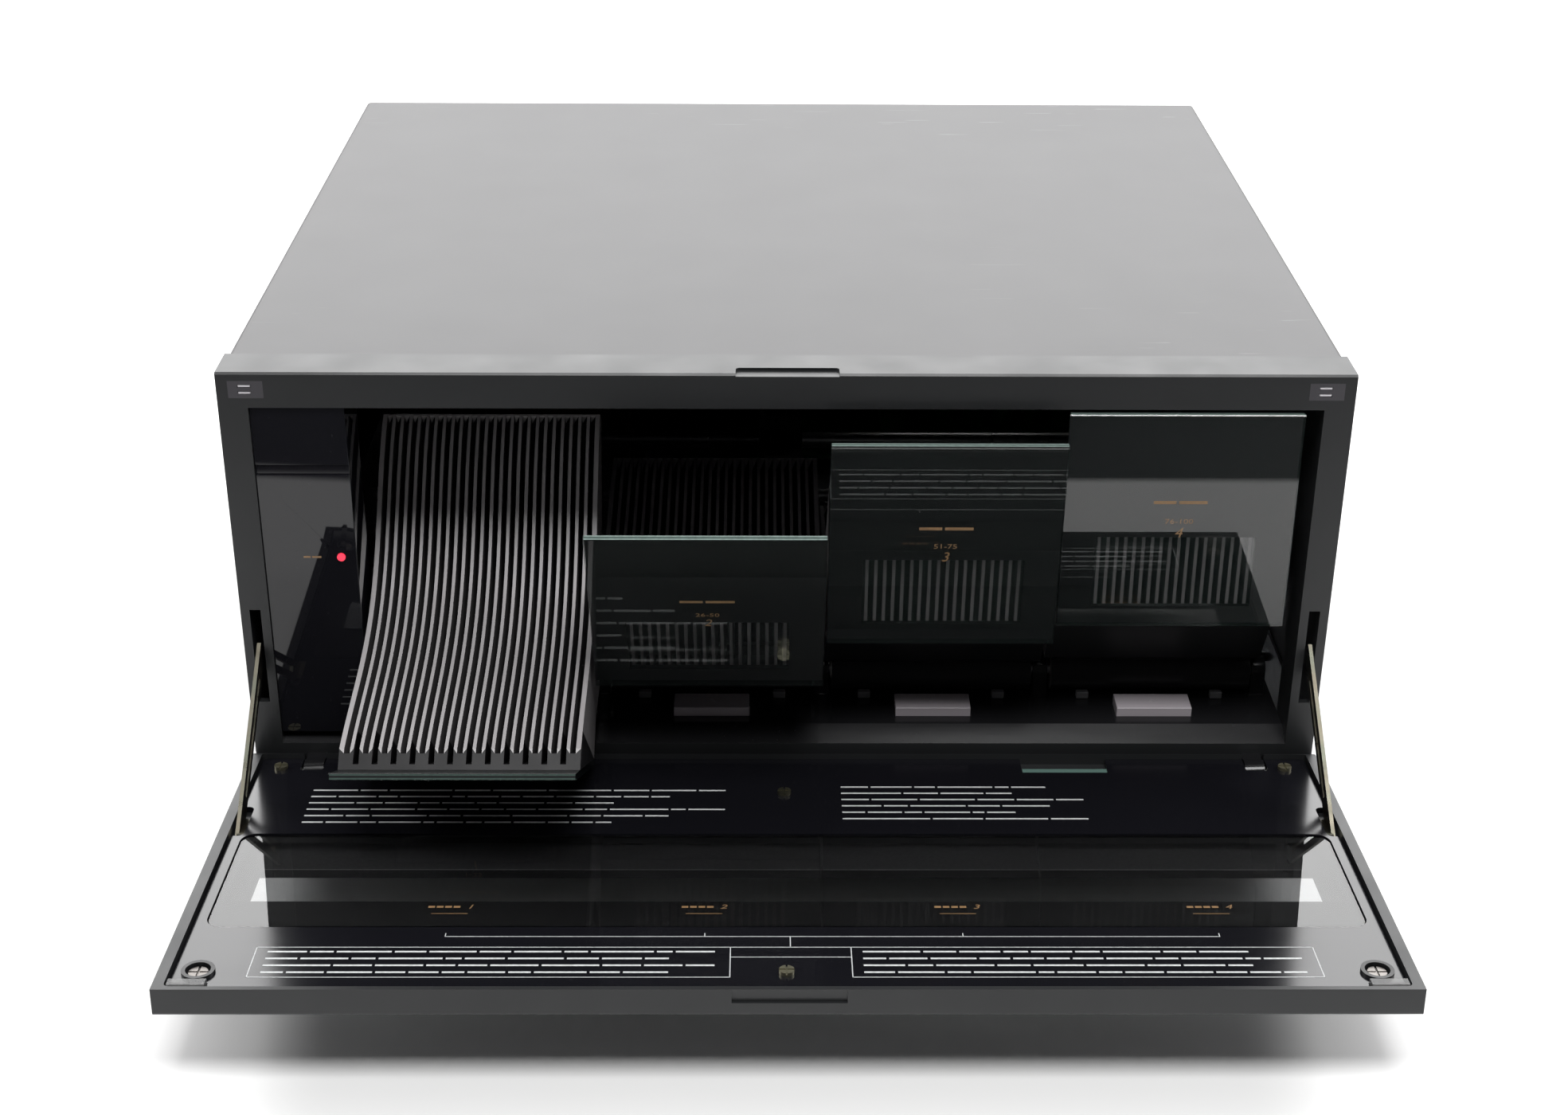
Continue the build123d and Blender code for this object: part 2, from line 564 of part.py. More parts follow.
def make_cup_screws():
    shape = None
    for side in (-1, 1):
        x = side * CUP_X
        z = HEIGHT - CUP_DROP
        one = bar_y(1.6, x, SKIN_IN, LINER_BACK + 1.0, z)
        head = bar_y(3.4, x, LINER_BACK + 1.0, LINER_BACK + 2.6, z)
        head -= block(x - 4, x + 4, LINER_BACK + 2.0, LINER_BACK + 3, z - 0.4, z + 0.4)
        head -= block(x - 0.4, x + 0.4, LINER_BACK + 2.0, LINER_BACK + 3, z - 4, z + 4)
        one += head
        shape = one if shape is None else shape + one
    return shape


def make_pad(side):
    mid = side * PAD_X
    z = HEIGHT - PAD_DROP
    shape = block(mid - PAD_W / 2 + 0.2, mid + PAD_W / 2 - 0.2, LINER_BACK, DOOR_IN - 0.2,
                  z - PAD_H / 2 + 0.2, z + PAD_H / 2 - 0.2)
    return chamfer(edges_along(shape, Axis.X, lambda c: c.Y > LINER_FACE), 0.6)


def make_liner_screws():
    shape = None
    for x, z in LINER_SCREWS:
        one = bar_y(1.4, x, SKIN_IN, LINER_FACE, z)
        head = bar_y(2.7, x, LINER_FACE, LINER_FACE + 1.4, z)
        head -= block(x - 3, x + 3, LINER_FACE + 0.7, LINER_FACE + 2, z - 0.35, z + 0.35)
        head -= block(x - 0.35, x + 0.35, LINER_FACE + 0.7, LINER_FACE + 2, z - 3, z + 3)
        one += head
        shape = one if shape is None else shape + one
    return shape


def make_hinge_pins():
    shape = None
    for side in (-1, 1):
        x = side * EAR_X
        one = bar_x(PIN_R, x - EAR_W / 2 - PIN_GRIP, x + EAR_W / 2 + PIN_GRIP, HINGE_Y, HINGE_Z)
        shape = one if shape is None else shape + one
    return shape


def make_key(x, z, w, h):
    shape = slab(x - w / 2, x + w / 2, z - h / 2, z + h / 2, 0.8, DOOR_OUT - KEY_OUT, SKIN_IN + 0.2)
    shape += slab(x - w / 2 - 1.2, x + w / 2 + 1.2, z - h / 2 - 1.2, z + h / 2 + 1.2, 1.0,
                  SKIN_IN + 0.1, SKIN_IN + 1.2)
    return shape


# ---- racks, drawn home -----------------------------------------------------
BROW = (-28.6, 110.7 * TALL)
HOLLOW = [BROW, (-8.0, 81.8 * TALL), (16.4, 51.5 * TALL), (41.0, 35.4 * TALL), (72.9, 26.3 * TALL),
          (105.7, 13.3)]


def rack_outline():
    """Side outline of the slotted tray about its pivot."""
    front = -FACE_R + PANEL_T
    curve = Spline(*[(0, y, z) for y, z in HOLLOW])
    under = [(105.7, 13.3), (104.5, 6.0), (60.0, -2.0), (6.0, -6.7), (-8.5, 10.0), (-20.0, 31.5 * TALL),
             (front, PANEL_LOW), (front, 113.7 * TALL), BROW]
    rest = Polyline(*[(0, y, z) for y, z in under])
    return make_face(Wire([curve] + list(rest.edges())))


def make_tray(bore):
    """Tray with its slots, one solid, at the origin of its pivot."""
    half = RACK_W / 2
    front = -FACE_R + PANEL_T
    body = Pos(-half, 0, 0) * extrude(rack_outline(), RACK_W, dir=(1, 0, 0))
    gap = SLOT_PITCH - FIN_T
    inner = front + SKIN
    low = [(inner, 43.4 * TALL), (-18.6, 33.9 * TALL), (-6.4, 12.2), (4.0, 10.4), (10.0, 4.6),
           (60.0, 1.0), (102.4, 8.2), (112.0, 30.0), (112.0, 130.0)]
    plain = low + [(inner, 130.0)]
    stepped = low + [(inner + 4.0, 130.0), (inner + 4.0, 98.0 * TALL), (inner, 92.0 * TALL)]
    cuts = []
    for i in range(SLOTS):
        x = (i - (SLOTS - 1) / 2) * SLOT_PITCH
        cuts.append(profile_x(stepped if i % 2 == 0 else plain, x - gap / 2, x + gap / 2))
    body -= cuts
    body -= block(-VIEW_W / 2, VIEW_W / 2, front - 1, inner, VIEW_LOW, VIEW_HIGH)
    body += bar_x(HUB_R, -half + 3.4, half - 3.4, 0, 0)
    relief = HUB_R + 3.0
    for side in (-1, 1):
        a = side * (half - 3.4)
        b = side * (half + 1)
        body -= bar_x(relief, min(a, b), max(a, b), 0, 0)
    body -= bar_x(bore, -half - 1, half + 1, 0, 0)
    return body


def make_panel():
    """Smoked front panel of a rack, at the origin of its pivot."""
    half = RACK_W / 2
    shape = block(-half, half, -FACE_R, -FACE_R + PANEL_T, PANEL_LOW, PANEL_TOP)
    return chamfer(edges_along(shape, Axis.X, lambda c: c.Z > PANEL_TOP - 1), 0.4)


def make_axle():
    half = RACK_PITCH / 2 - POST_W / 2 + POST_SINK
    return bar_x(AXLE_R, -half, half, 0, 0)


def make_sleeve():
    half = RACK_W / 2 - 3.0
    return bar_x(SLEEVE_R, -half, half, 0, 0) - bar_x(BORE_AXLE, -half - 1, half + 1, 0, 0)


def stand(shape, i, swing):
    """Put a rack piece on its pivot and swing it out."""
    placed = Pos(RACK_X[i], PIVOT_Y, PIVOT_Z) * shape
    return placed.rotate(RACK_AXIS, swing) if swing else placed


# ---- mechanism behind the racks --------------------------------------------
def make_bracket(side):
    x = side * BRACKET_X
    a = min(x, x + side * BRACKET_T)
    b = max(x, x + side * BRACKET_T)
    shape = block(a, b, MECH_Y - 4, (MOTOR_Y if side < 0 else ROD_Y[1]) + 14, FLOOR_Z, 60)
    shape += block(min(x, x - side * 12), max(x, x - side * 12), ROD_Y[0] + 14, ROD_Y[0] + 44,
                   FLOOR_Z, FLOOR_Z + BRACKET_T)
    for y in ROD_Y:
        shape -= bar_x(ROD_R, a - 1, b + 1, y, ROD_Z)
    shape -= bar_x(SCREW_R + RUN, a - 1, b + 1, SCREW_Y, SCREW_Z)
    if side < 0:
        shape -= bar_x(1.5, a - 1, b + 1, MOTOR_Y, MOTOR_Z)
    return shape


def make_rods():
    shape = None
    reach = BRACKET_X + BRACKET_T
    for y in ROD_Y:
        one = bar_x(ROD_R, -reach, reach, y, ROD_Z)
        shape = one if shape is None else shape + one
    return shape


def make_lead_screw():
    reach = BRACKET_X + BRACKET_T
    shape = bar_x(SCREW_R, -reach - PULLEY_T - 1, reach, SCREW_Y, SCREW_Z)
    grooves = int(2 * (BRACKET_X - 23) / 6)
    for i in range(grooves):
        x = -BRACKET_X + 26 + i * 6.0
        shape -= bar_x(SCREW_R + 1, x - 1, x + 1, SCREW_Y, SCREW_Z) - bar_x(SCREW_R - 0.6, x - 2, x + 2,
                                                                         SCREW_Y, SCREW_Z)
    shape += bar_x(PULLEY_R, -reach - PULLEY_T - 1, -reach - 1, SCREW_Y, SCREW_Z)
    return shape


def make_motor():
    """Motor on the left bracket, its pulley outside the bracket."""
    face = -BRACKET_X
    shape = bar_x(11, face, face + 30, MOTOR_Y, MOTOR_Z)
    shape += bar_x(1.5, face - BRACKET_T - 1 - PULLEY_T, face, MOTOR_Y, MOTOR_Z)
    shape += bar_x(MOTOR_PULLEY_R, face - BRACKET_T - 1 - PULLEY_T, face - BRACKET_T - 1, MOTOR_Y, MOTOR_Z)
    return shape


def make_belt():
    """Rubber belt round the motor pulley and the lead screw pulley."""
    x0 = -BRACKET_X - BRACKET_T - 1 - PULLEY_T + 0.5
    x1 = x0 + PULLEY_T - 1
    big = PULLEY_R + BELT_PLAY
    small = MOTOR_PULLEY_R + BELT_PLAY

    def loop(grow):
        hull = profile_x([(SCREW_Y, SCREW_Z + big + grow), (MOTOR_Y, MOTOR_Z + small + grow),
                          (MOTOR_Y, MOTOR_Z - small - grow), (SCREW_Y, SCREW_Z - big - grow)], x0, x1)
        hull += bar_x(big + grow, x0, x1, SCREW_Y, SCREW_Z)
        return hull + bar_x(small + grow, x0, x1, MOTOR_Y, MOTOR_Z)

    return loop(BELT_T) - loop(0.0)


def make_carriage():
    """Carriage on the rods, with an upright plate for the playing deck."""
    shape = block(-DRIVE_HALF, DRIVE_HALF, MECH_Y, ROD_Y[1] + 10, 29.5, 50)
    for y in ROD_Y:
        shape -= bar_x(ROD_R + RUN, -DRIVE_HALF - 1, DRIVE_HALF + 1, y, ROD_Z)
    shape -= bar_x(SCREW_R + RUN, -DRIVE_HALF - 1, DRIVE_HALF + 1, SCREW_Y, SCREW_Z)
    shape -= block(-DRIVE_HALF - 1, DRIVE_HALF + 1, ROD_Y[0] + 10, SCREW_Y - 13, 40, 51)
    shape -= block(-DRIVE_HALF - 1, DRIVE_HALF + 1, SCREW_Y + 13, ROD_Y[1] - 10, 40, 51)
    shape += block(-DRIVE_HALF, -DRIVE_HALF + 2.5, MECH_Y, ROD_Y[1] + 10, 50, COVER_TOP - 16.6)
    shape -= bar_x(5.0 + RUN, -DRIVE_HALF - 1, 0, TURN_Y, TURN_Z)
    shape -= block(-DRIVE_HALF - 1, -DRIVE_HALF + 3, TURN_Y + 18, TURN_Y + 58, TURN_Z - 14, TURN_Z + 14)
    shape += block(-DRIVE_HALF, -DRIVE_HALF + 5, TURN_Y + 16, TURN_Y + 60, TURN_Z + 14, TURN_Z + 17)
    shape += block(-DRIVE_HALF, -DRIVE_HALF + 5, TURN_Y + 16, TURN_Y + 60, TURN_Z - 17, TURN_Z - 14)
    return shape


def make_turntable():
    face = -DRIVE_HALF + 2.5
    shape = bar_x(5.0, -DRIVE_HALF - 3, face + 2, TURN_Y, TURN_Z)
    shape += bar_x(14.0, face + 0.4, face + 2.4, TURN_Y, TURN_Z)
    shape += bar_x(7.3, face + 2.4, face + 4.0, TURN_Y, TURN_Z)
    return shape


def make_pickup():
    shape = block(-DRIVE_HALF - 3, -DRIVE_HALF + 3.4, TURN_Y + 20, TURN_Y + 38, TURN_Z - 13.8, TURN_Z + 13.8)
    shape += bar_x(3.6, -DRIVE_HALF + 3.4, -DRIVE_HALF + 4.6, TURN_Y + 29, TURN_Z)
    return shape


def make_transformer():
    x0, y0 = INLET_X + 28, DEPTH - 73
    shape = block(x0, x0 + 62, y0 + 8, y0 + 44, FLOOR_Z, FLOOR_Z + 52)
    shape += block(x0 + 14, x0 + 48, y0, y0 + 52, FLOOR_Z + 10, FLOOR_Z + 42)
    shape += block(x0 - 8, x0 + 70, y0 + 14, y0 + 38, FLOOR_Z, FLOOR_Z + 2)
    return shape


def make_board():
    z = FLOOR_Z + 6
    right = HALF - 27.5
    left = right - 240
    front = DEPTH - 69
    back = DEPTH - 13
    shape = block(left, right, front, back, z, z + 1.6)
    for x in (left + 8, right - 8):
        for y in (front + 6, back - 6):
            shape += bar_z(3.0, x, y, FLOOR_Z, z)
    chips = ((34, 24, 30, 30, 3), (74, 20, 24, 24, 3), (110, 29, 14, 40, 12), (160, 20, 36, 20, 3))
    for dx, dy, w, d, h in chips:
        x = left + dx
        y = front + dy
        shape += block(x - w / 2, x + w / 2, y - d / 2, y + d / 2, z + 1.6, z + 1.6 + h)
    for i in range(5):
        shape += bar_z(6.0, left + 140 + i * 16, back - 10, z + 1.6, z + 22)
    return shape


# ---- all pieces ------------------------------------------------------------
def open_door(shape):
    return shape.rotate(DOOR_AXIS, DOOR_SWING)


nodes = {}
nodes["base"] = make_base()
nodes["cover"] = make_cover()
nodes["cover_screws"] = make_cover_screws()
nodes["rear_panel"] = make_rear_panel()
nodes["feet"] = make_feet()
nodes["audio_jacks"] = make_audio_jacks()
nodes["mains_inlet"] = make_mains_inlet()
nodes["bezel"] = make_bezel()
nodes["latch_plate_left"] = make_latch_plate(-1)
nodes["latch_plate_right"] = make_latch_plate(1)
nodes["button_deck"] = make_deck()
nodes["side_strip"] = make_strip()
nodes["standby_lamp"] = make_led()

nodes["door_shell"] = open_door(make_door_shell())
nodes["door_liner"] = open_door(make_liner())
nodes["door_window"] = open_door(make_window())
nodes["display_lens"] = open_door(make_display_lens())
nodes["sensor_lens"] = open_door(make_sensor_lens())
nodes["door_stay_left"] = open_door(make_stay(-1))
nodes["door_stay_right"] = open_door(make_stay(1))
nodes["striker_cup_left"] = open_door(make_cup(-1))
nodes["striker_cup_right"] = open_door(make_cup(1))
nodes["corner_pad_left"] = open_door(make_pad(-1))
nodes["corner_pad_right"] = open_door(make_pad(1))
nodes["cup_screws"] = open_door(make_cup_screws())
nodes["liner_screws"] = open_door(make_liner_screws())
nodes["hinge_pins"] = open_door(make_hinge_pins())
for name, (x, z, w, h) in KEYS.items():
    nodes[name] = open_door(make_key(x, z, w, h))

tray_on_axle = make_tray(BORE_AXLE)
tray_on_sleeve = make_tray(BORE_SLEEVE)
panel = make_panel()
axle = make_axle()
sleeve = make_sleeve()
SWINGS = (OPEN_FULL, OPEN_2, OPEN_3, 0.0)
for i, swing in enumerate(SWINGS):
    number = i + 1
    tray = tray_on_sleeve if number in (2, 3) else tray_on_axle
    nodes[f"rack_{number}_tray"] = stand(tray, i, swing)
    nodes[f"rack_{number}_panel"] = stand(panel, i, swing)
    nodes[f"rack_{number}_axle"] = stand(axle, i, swing)
    if number in (2, 3):
        nodes[f"rack_{number}_sleeve"] = stand(sleeve, i, swing)
    nodes[f"eject_button_{number}"] = make_button(RACK_X[i])

nodes["mechanism_bracket_left"] = make_bracket(-1)
nodes["mechanism_bracket_right"] = make_bracket(1)
nodes["guide_rods"] = make_rods()
nodes["lead_screw"] = make_lead_screw()
nodes["carriage_motor"] = make_motor()
nodes["drive_belt"] = make_belt()
nodes["carriage"] = make_carriage()
nodes["turntable"] = make_turntable()
nodes["pickup"] = make_pickup()
nodes["transformer"] = make_transformer()
nodes["main_board"] = make_board()

# the row sits about the middle of its depth: door edge in front, jacks behind
FRONT_END = (HINGE_Y + (DOOR_OUT + DOOR_ROUND - HINGE_Y) * cos(radians(DOOR_SWING))
             - (HEIGHT - DOOR_ROUND - HINGE_Z) * sin(radians(DOOR_SWING)) - DOOR_ROUND)
REAR_END = DEPTH + JACK_OUT
MID_Y = (FRONT_END + REAR_END) / 2

os.makedirs("parts", exist_ok=True)
for name, shape in nodes.items():
    export_step(Pos(0, -MID_Y, 0) * shape, f"parts/{name}.step")
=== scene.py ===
from math import cos, radians, sin

import bpy
from mathutils import Matrix, Vector


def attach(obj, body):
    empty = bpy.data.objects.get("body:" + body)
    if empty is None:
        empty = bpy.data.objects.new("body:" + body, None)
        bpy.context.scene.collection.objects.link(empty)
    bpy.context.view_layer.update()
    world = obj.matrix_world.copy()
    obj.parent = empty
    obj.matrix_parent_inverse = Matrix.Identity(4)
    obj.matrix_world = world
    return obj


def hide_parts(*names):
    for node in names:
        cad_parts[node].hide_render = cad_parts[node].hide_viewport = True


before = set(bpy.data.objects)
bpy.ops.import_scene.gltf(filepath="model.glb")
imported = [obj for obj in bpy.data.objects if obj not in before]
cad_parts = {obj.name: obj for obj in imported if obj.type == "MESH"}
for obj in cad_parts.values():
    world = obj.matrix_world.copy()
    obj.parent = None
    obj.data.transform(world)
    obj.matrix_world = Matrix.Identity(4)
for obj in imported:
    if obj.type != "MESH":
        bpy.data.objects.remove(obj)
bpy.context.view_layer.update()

# ---------------------------------------------------------------- measures
MM = 0.001
MID_Y = 102.0078          # the CAD's own shift, front plane of the bezel to the row's middle
HEIGHT = 193.0            # top of the bezel above the floor
HINGE = (-8.0, 20.7)      # door hinge, Y and Z
DOOR_REACH = 172.3        # hinge to the door's free end
DOOR_FACE = 7.5           # hinge to the door's inner face
DOOR_TILT = 4.1           # open door above level, degrees
LINER_SINK = 2.5          # glossy liner below the door's inner face
PIVOT = (37.7, 44.3)      # rack pivot, Y and Z
RACK_X = [-122.6 + 92.1 * i for i in range(4)]
RACK_W = 90.4
SWINGS = (61.75, 24.67, 7.36, 0.0)  # how far each rack hangs out, degrees
PANEL_FRONT = -39.0       # rack panel's faces and edges from the pivot
PANEL_BACK = -36.3
PANEL_LOW = 41.0
PANEL_TOP = 132.7
VIEW_X = 31.6             # half width of the clear view in a rack panel
VIEW_LOW = 48.7
VIEW_HIGH = 79.4
GLASS_SINK = 3.1          # door glass below the door's inner face
WINDOW = (203.5, 87.0, 130.0)  # clear part of the door glass, half width, low and high
VIEW_HOLE = (197.0, 110.0)     # opening seen below the glass, half width and its low edge
GLASS = (208.5, 81.5, 148.3)   # whole door glass, half width, low and high
DOOR_TOP = HEIGHT
SHADE_SINK = 8.0          # inside of the door below the glass
# painted highlight along the edge inside the door, and painted shade in the band below it
LIP = (103.7, 104.2)      # bright edge in it, shut-door heights
WELL = (104.3, 109.9)     # dark band below that edge
STRIP_FACE = 1.2          # fixed strip behind the bezel's front plane
DECK_Z = 34.4             # top of the button deck
BUTTON_TOP = 38.0
BUTTON_MID = 20.6         # eject button's middle behind the front plane
PRINT_LIFT = 0.02         # printed film above its surface
# below that depth a face is made black: black plastic at the nose and hub, painted shade in the slot
# floors
FIN_DEPTH = 4.0           # faces deeper than this below a fin's edge are slot floor
OPENING_HALF = 206.2      # half width of the bezel's opening

# metres, on the printed surfaces
INK = 0.00004             # thickness of printed film
HAIR = 0.00035            # width of a printed line


def at(x, y, z):
    """Millimetres from the bezel's front plane to metres in the row."""
    return Vector((x * MM, (y - MID_Y) * MM, z * MM))


# ---------------------------------------------------------------- materials
def new_material(name):
    mat = bpy.data.materials.new(name)
    mat.use_nodes = True
    nodes = mat.node_tree.nodes
    for node in list(nodes):
        nodes.remove(node)
    out = nodes.new("ShaderNodeOutputMaterial")
    body = nodes.new("ShaderNodeBsdfPrincipled")
    mat.node_tree.links.new(body.outputs["BSDF"], out.inputs["Surface"])
    coords = nodes.new("ShaderNodeTexCoord")
    return mat, nodes, mat.node_tree.links, body, coords


def noise(nodes, links, coords, scale, detail=3.0, stretch=None, rough=0.5):
    tex = nodes.new("ShaderNodeTexNoise")
    tex.inputs["Scale"].default_value = scale
    tex.inputs["Detail"].default_value = detail
    tex.inputs["Roughness"].default_value = rough
    if stretch:
        mapping = nodes.new("ShaderNodeMapping")
        mapping.inputs["Scale"].default_value = stretch
        links.new(coords.outputs["Object"], mapping.inputs["Vector"])
        links.new(mapping.outputs["Vector"], tex.inputs["Vector"])
    else:
        links.new(coords.outputs["Object"], tex.inputs["Vector"])
    return tex.outputs["Fac"]


def ramp(nodes, links, fac, low, high, a, b):
    """Values a to b as fac goes from low to high."""
    node = nodes.new("ShaderNodeMapRange")
    node.inputs["From Min"].default_value = low
    node.inputs["From Max"].default_value = high
    node.inputs["To Min"].default_value = a
    node.inputs["To Max"].default_value = b
    links.new(fac, node.inputs["Value"])
    return node.outputs["Result"]


def blend_colour(nodes, links, fac, a, b):
    mix = nodes.new("ShaderNodeMix")
    mix.data_type = "RGBA"
    mix.inputs[6].default_value = (*a, 1)
    mix.inputs[7].default_value = (*b, 1)
    links.new(fac, mix.inputs[0])
    return mix.outputs[2]


def add_bump(nodes, links, body, height, strength, distance):
    bump = nodes.new("ShaderNodeBump")
    bump.inputs["Strength"].default_value = strength
    bump.inputs["Distance"].default_value = distance
    links.new(height, bump.inputs["Height"])
    links.new(bump.outputs["Normal"], body.inputs["Normal"])


def moulded(name, colour, rough, grain=0.25, mottle=0.15, spread=0.06, metal=0.0, level=0.5):
    """A moulded or painted surface: cloudy colour, uneven sheen and a fine grain."""
    mat, nodes, links, body, coords = new_material(name)
    cloud = noise(nodes, links, coords, 14, 4)
    darker = tuple(c * (1 - mottle) for c in colour)
    lighter = tuple(min(1, c * (1 + mottle)) for c in colour)
    spreadf = ramp(nodes, links, cloud, 0.3, 0.7, 0, 1)
    links.new(blend_colour(nodes, links, spreadf, darker, lighter), body.inputs["Base Color"])
    sheen = noise(nodes, links, coords, 46, 5)
    uneven = ramp(nodes, links, sheen, 0.3, 0.7, rough - spread, rough + spread)
    links.new(uneven, body.inputs["Roughness"])
    body.inputs["Metallic"].default_value = metal
    body.inputs["Specular IOR Level"].default_value = level
    fine = noise(nodes, links, coords, 2400, 2)
    add_bump(nodes, links, body, fine, grain, 0.00003)
    return mat


def gloss(name, colour, rough, smear=0.06, level=0.5):
    """Polished black plastic with faint dust and wiping marks."""
    mat, nodes, links, body, coords = new_material(name)
    dust = noise(nodes, links, coords, 900, 2)
    specks = ramp(nodes, links, dust, 0.70, 0.80, 0, 1)
    dusty = tuple(c + 0.02 for c in colour)
    links.new(blend_colour(nodes, links, specks, colour, dusty), body.inputs["Base Color"])
    wipes = noise(nodes, links, coords, 9, 5, (0.6, 3.0, 3.0))
    links.new(ramp(nodes, links, wipes, 0.45, 0.75, rough, rough + smear), body.inputs["Roughness"])
    body.inputs["Specular IOR Level"].default_value = level
    return mat


def smoked(name, tint, cover, rough, ior):
    """Thin smoked acrylic: a dark tint that light passes through, with a polished face."""
    mat, nodes, links, body, coords = new_material(name)
    body.inputs["Base Color"].default_value = (*tint, 1)
    body.inputs["Alpha"].default_value = cover
    body.inputs["IOR"].default_value = ior
    haze = noise(nodes, links, coords, 30, 4)
    links.new(ramp(nodes, links, haze, 0.4, 0.8, rough, rough + 0.01), body.inputs["Roughness"])
    return mat


def clear_glass(name, tint, ior):
    """Solid tinted acrylic with polished faces and a little haze."""
    mat, nodes, links, body, coords = new_material(name)
    body.inputs["Transmission Weight"].default_value = 1.0
    body.inputs["IOR"].default_value = ior
    haze = noise(nodes, links, coords, 30, 4)
    spread = ramp(nodes, links, haze, 0.3, 0.7, 0, 1)
    deeper = tuple(c * 0.92 for c in tint)
    links.new(blend_colour(nodes, links, spread, deeper, tint), body.inputs["Base Color"])
    links.new(ramp(nodes, links, haze, 0.4, 0.8, 0.0, 0.012), body.inputs["Roughness"])
    return mat


def brushed(name, colour, rough, stretch, spots=None, strength=0.15):
    """Plain or plated metal with a drawn grain."""
    mat, nodes, links, body, coords = new_material(name)
    body.inputs["Metallic"].default_value = 1.0
    drawn = noise(nodes, links, coords, 60, 4, stretch)
    links.new(ramp(nodes, links, drawn, 0.3, 0.7, rough - 0.07, rough + 0.09), body.inputs["Roughness"])
    if spots:
        patch = noise(nodes, links, coords, 70, 3)
        fac = ramp(nodes, links, patch, 0.35, 0.65, 0, 1)
        links.new(blend_colour(nodes, links, fac, colour, spots), body.inputs["Base Color"])
    else:
        fac = ramp(nodes, links, drawn, 0.3, 0.7, 0, 1)
        duller = tuple(c * 0.9 for c in colour)
        links.new(blend_colour(nodes, links, fac, duller, colour), body.inputs["Base Color"])
    add_bump(nodes, links, body, drawn, strength, 0.00004)
    return mat


def printed(name, colour, rough=0.4, glow=0.0, level=0.5):
    """Silk-screened ink, slightly uneven; the same flat finish also makes the painted highlights on the
    acrylic edges and inside the door, and the painted shade band there.
    """
    mat, nodes, links, body, coords = new_material(name)
    patch = noise(nodes, links, coords, 700, 2)
    fac = ramp(nodes, links, patch, 0.3, 0.7, 0, 1)
    thinner = tuple(c * 0.75 for c in colour)
    links.new(blend_colour(nodes, links, fac, thinner, colour), body.inputs["Base Color"])
    body.inputs["Roughness"].default_value = rough
    body.inputs["Specular IOR Level"].default_value = level
    if glow:
        body.inputs["Emission Color"].default_value = (*colour, 1)
        body.inputs["Emission Strength"].default_value = glow
    return mat


def rack_plastic():
    """Grey slotted moulding, black and less shiny where the face attribute says: black plastic at the
    nose and hub, painted shade in the slot floors and, dimmer, on the fin sides.
    """
    mat, nodes, links, body, coords = new_material("rack_grey_plastic")
    cloud = noise(nodes, links, coords, 20, 4)
    cloudy = ramp(nodes, links, cloud, 0.3, 0.7, 0, 1)
    grey = blend_colour(nodes, links, cloudy, (0.34, 0.325, 0.33), (0.40, 0.385, 0.39))
    shade = nodes.new("ShaderNodeAttribute")
    shade.attribute_name = "black_plastic_and_painted_shade"
    mix = nodes.new("ShaderNodeMix")
    mix.data_type = "RGBA"
    links.new(shade.outputs["Fac"], mix.inputs[0])
    links.new(grey, mix.inputs[6])
    mix.inputs[7].default_value = (0.010, 0.010, 0.011, 1)
    links.new(mix.outputs[2], body.inputs["Base Color"])
    sheen = noise(nodes, links, coords, 60, 4)
    links.new(ramp(nodes, links, sheen, 0.3, 0.7, 0.32, 0.40), body.inputs["Roughness"])
    shine = ramp(nodes, links, shade.outputs["Fac"], 0, 1, 0.45, 0.14)
    links.new(shine, body.inputs["Specular IOR Level"])
    fine = noise(nodes, links, coords, 2600, 2)
    add_bump(nodes, links, body, fine, 0.12, 0.00003)
    return mat


def cover_paint():
    """Charcoal baked paint with hairline scratches and rubbed places."""
    mat, nodes, links, body, coords = new_material("charcoal_paint")
    cloud = noise(nodes, links, coords, 6, 5)
    cloudy = ramp(nodes, links, cloud, 0.3, 0.7, 0, 1)
    base = blend_colour(nodes, links, cloudy, (0.0265, 0.0255, 0.0275), (0.0295, 0.0285, 0.0305))
    hair = noise(nodes, links, coords, 26, 2, (1.0, 14.0, 1.0), 0.4)
    patch = noise(nodes, links, coords, 5, 2)
    lines = ramp(nodes, links, hair, 0.690, 0.705, 0, 1)
    where = ramp(nodes, links, patch, 0.55, 0.62, 0, 0.8)
    both = nodes.new("ShaderNodeMath")
    both.operation = "MULTIPLY"
    links.new(lines, both.inputs[0])
    links.new(where, both.inputs[1])
    mix = nodes.new("ShaderNodeMix")
    mix.data_type = "RGBA"
    links.new(both.outputs[0], mix.inputs[0])
    links.new(base, mix.inputs[6])
    mix.inputs[7].default_value = (0.10, 0.10, 0.105, 1)
    links.new(mix.outputs[2], body.inputs["Base Color"])
    sheen = noise(nodes, links, coords, 30, 4)
    links.new(ramp(nodes, links, sheen, 0.2, 0.8, 0.405, 0.42), body.inputs["Roughness"])
    body.inputs["Specular IOR Level"].default_value = 0.43
    fine = noise(nodes, links, coords, 2600, 2)
    add_bump(nodes, links, body, fine, 0.3, 0.00003)
    return mat


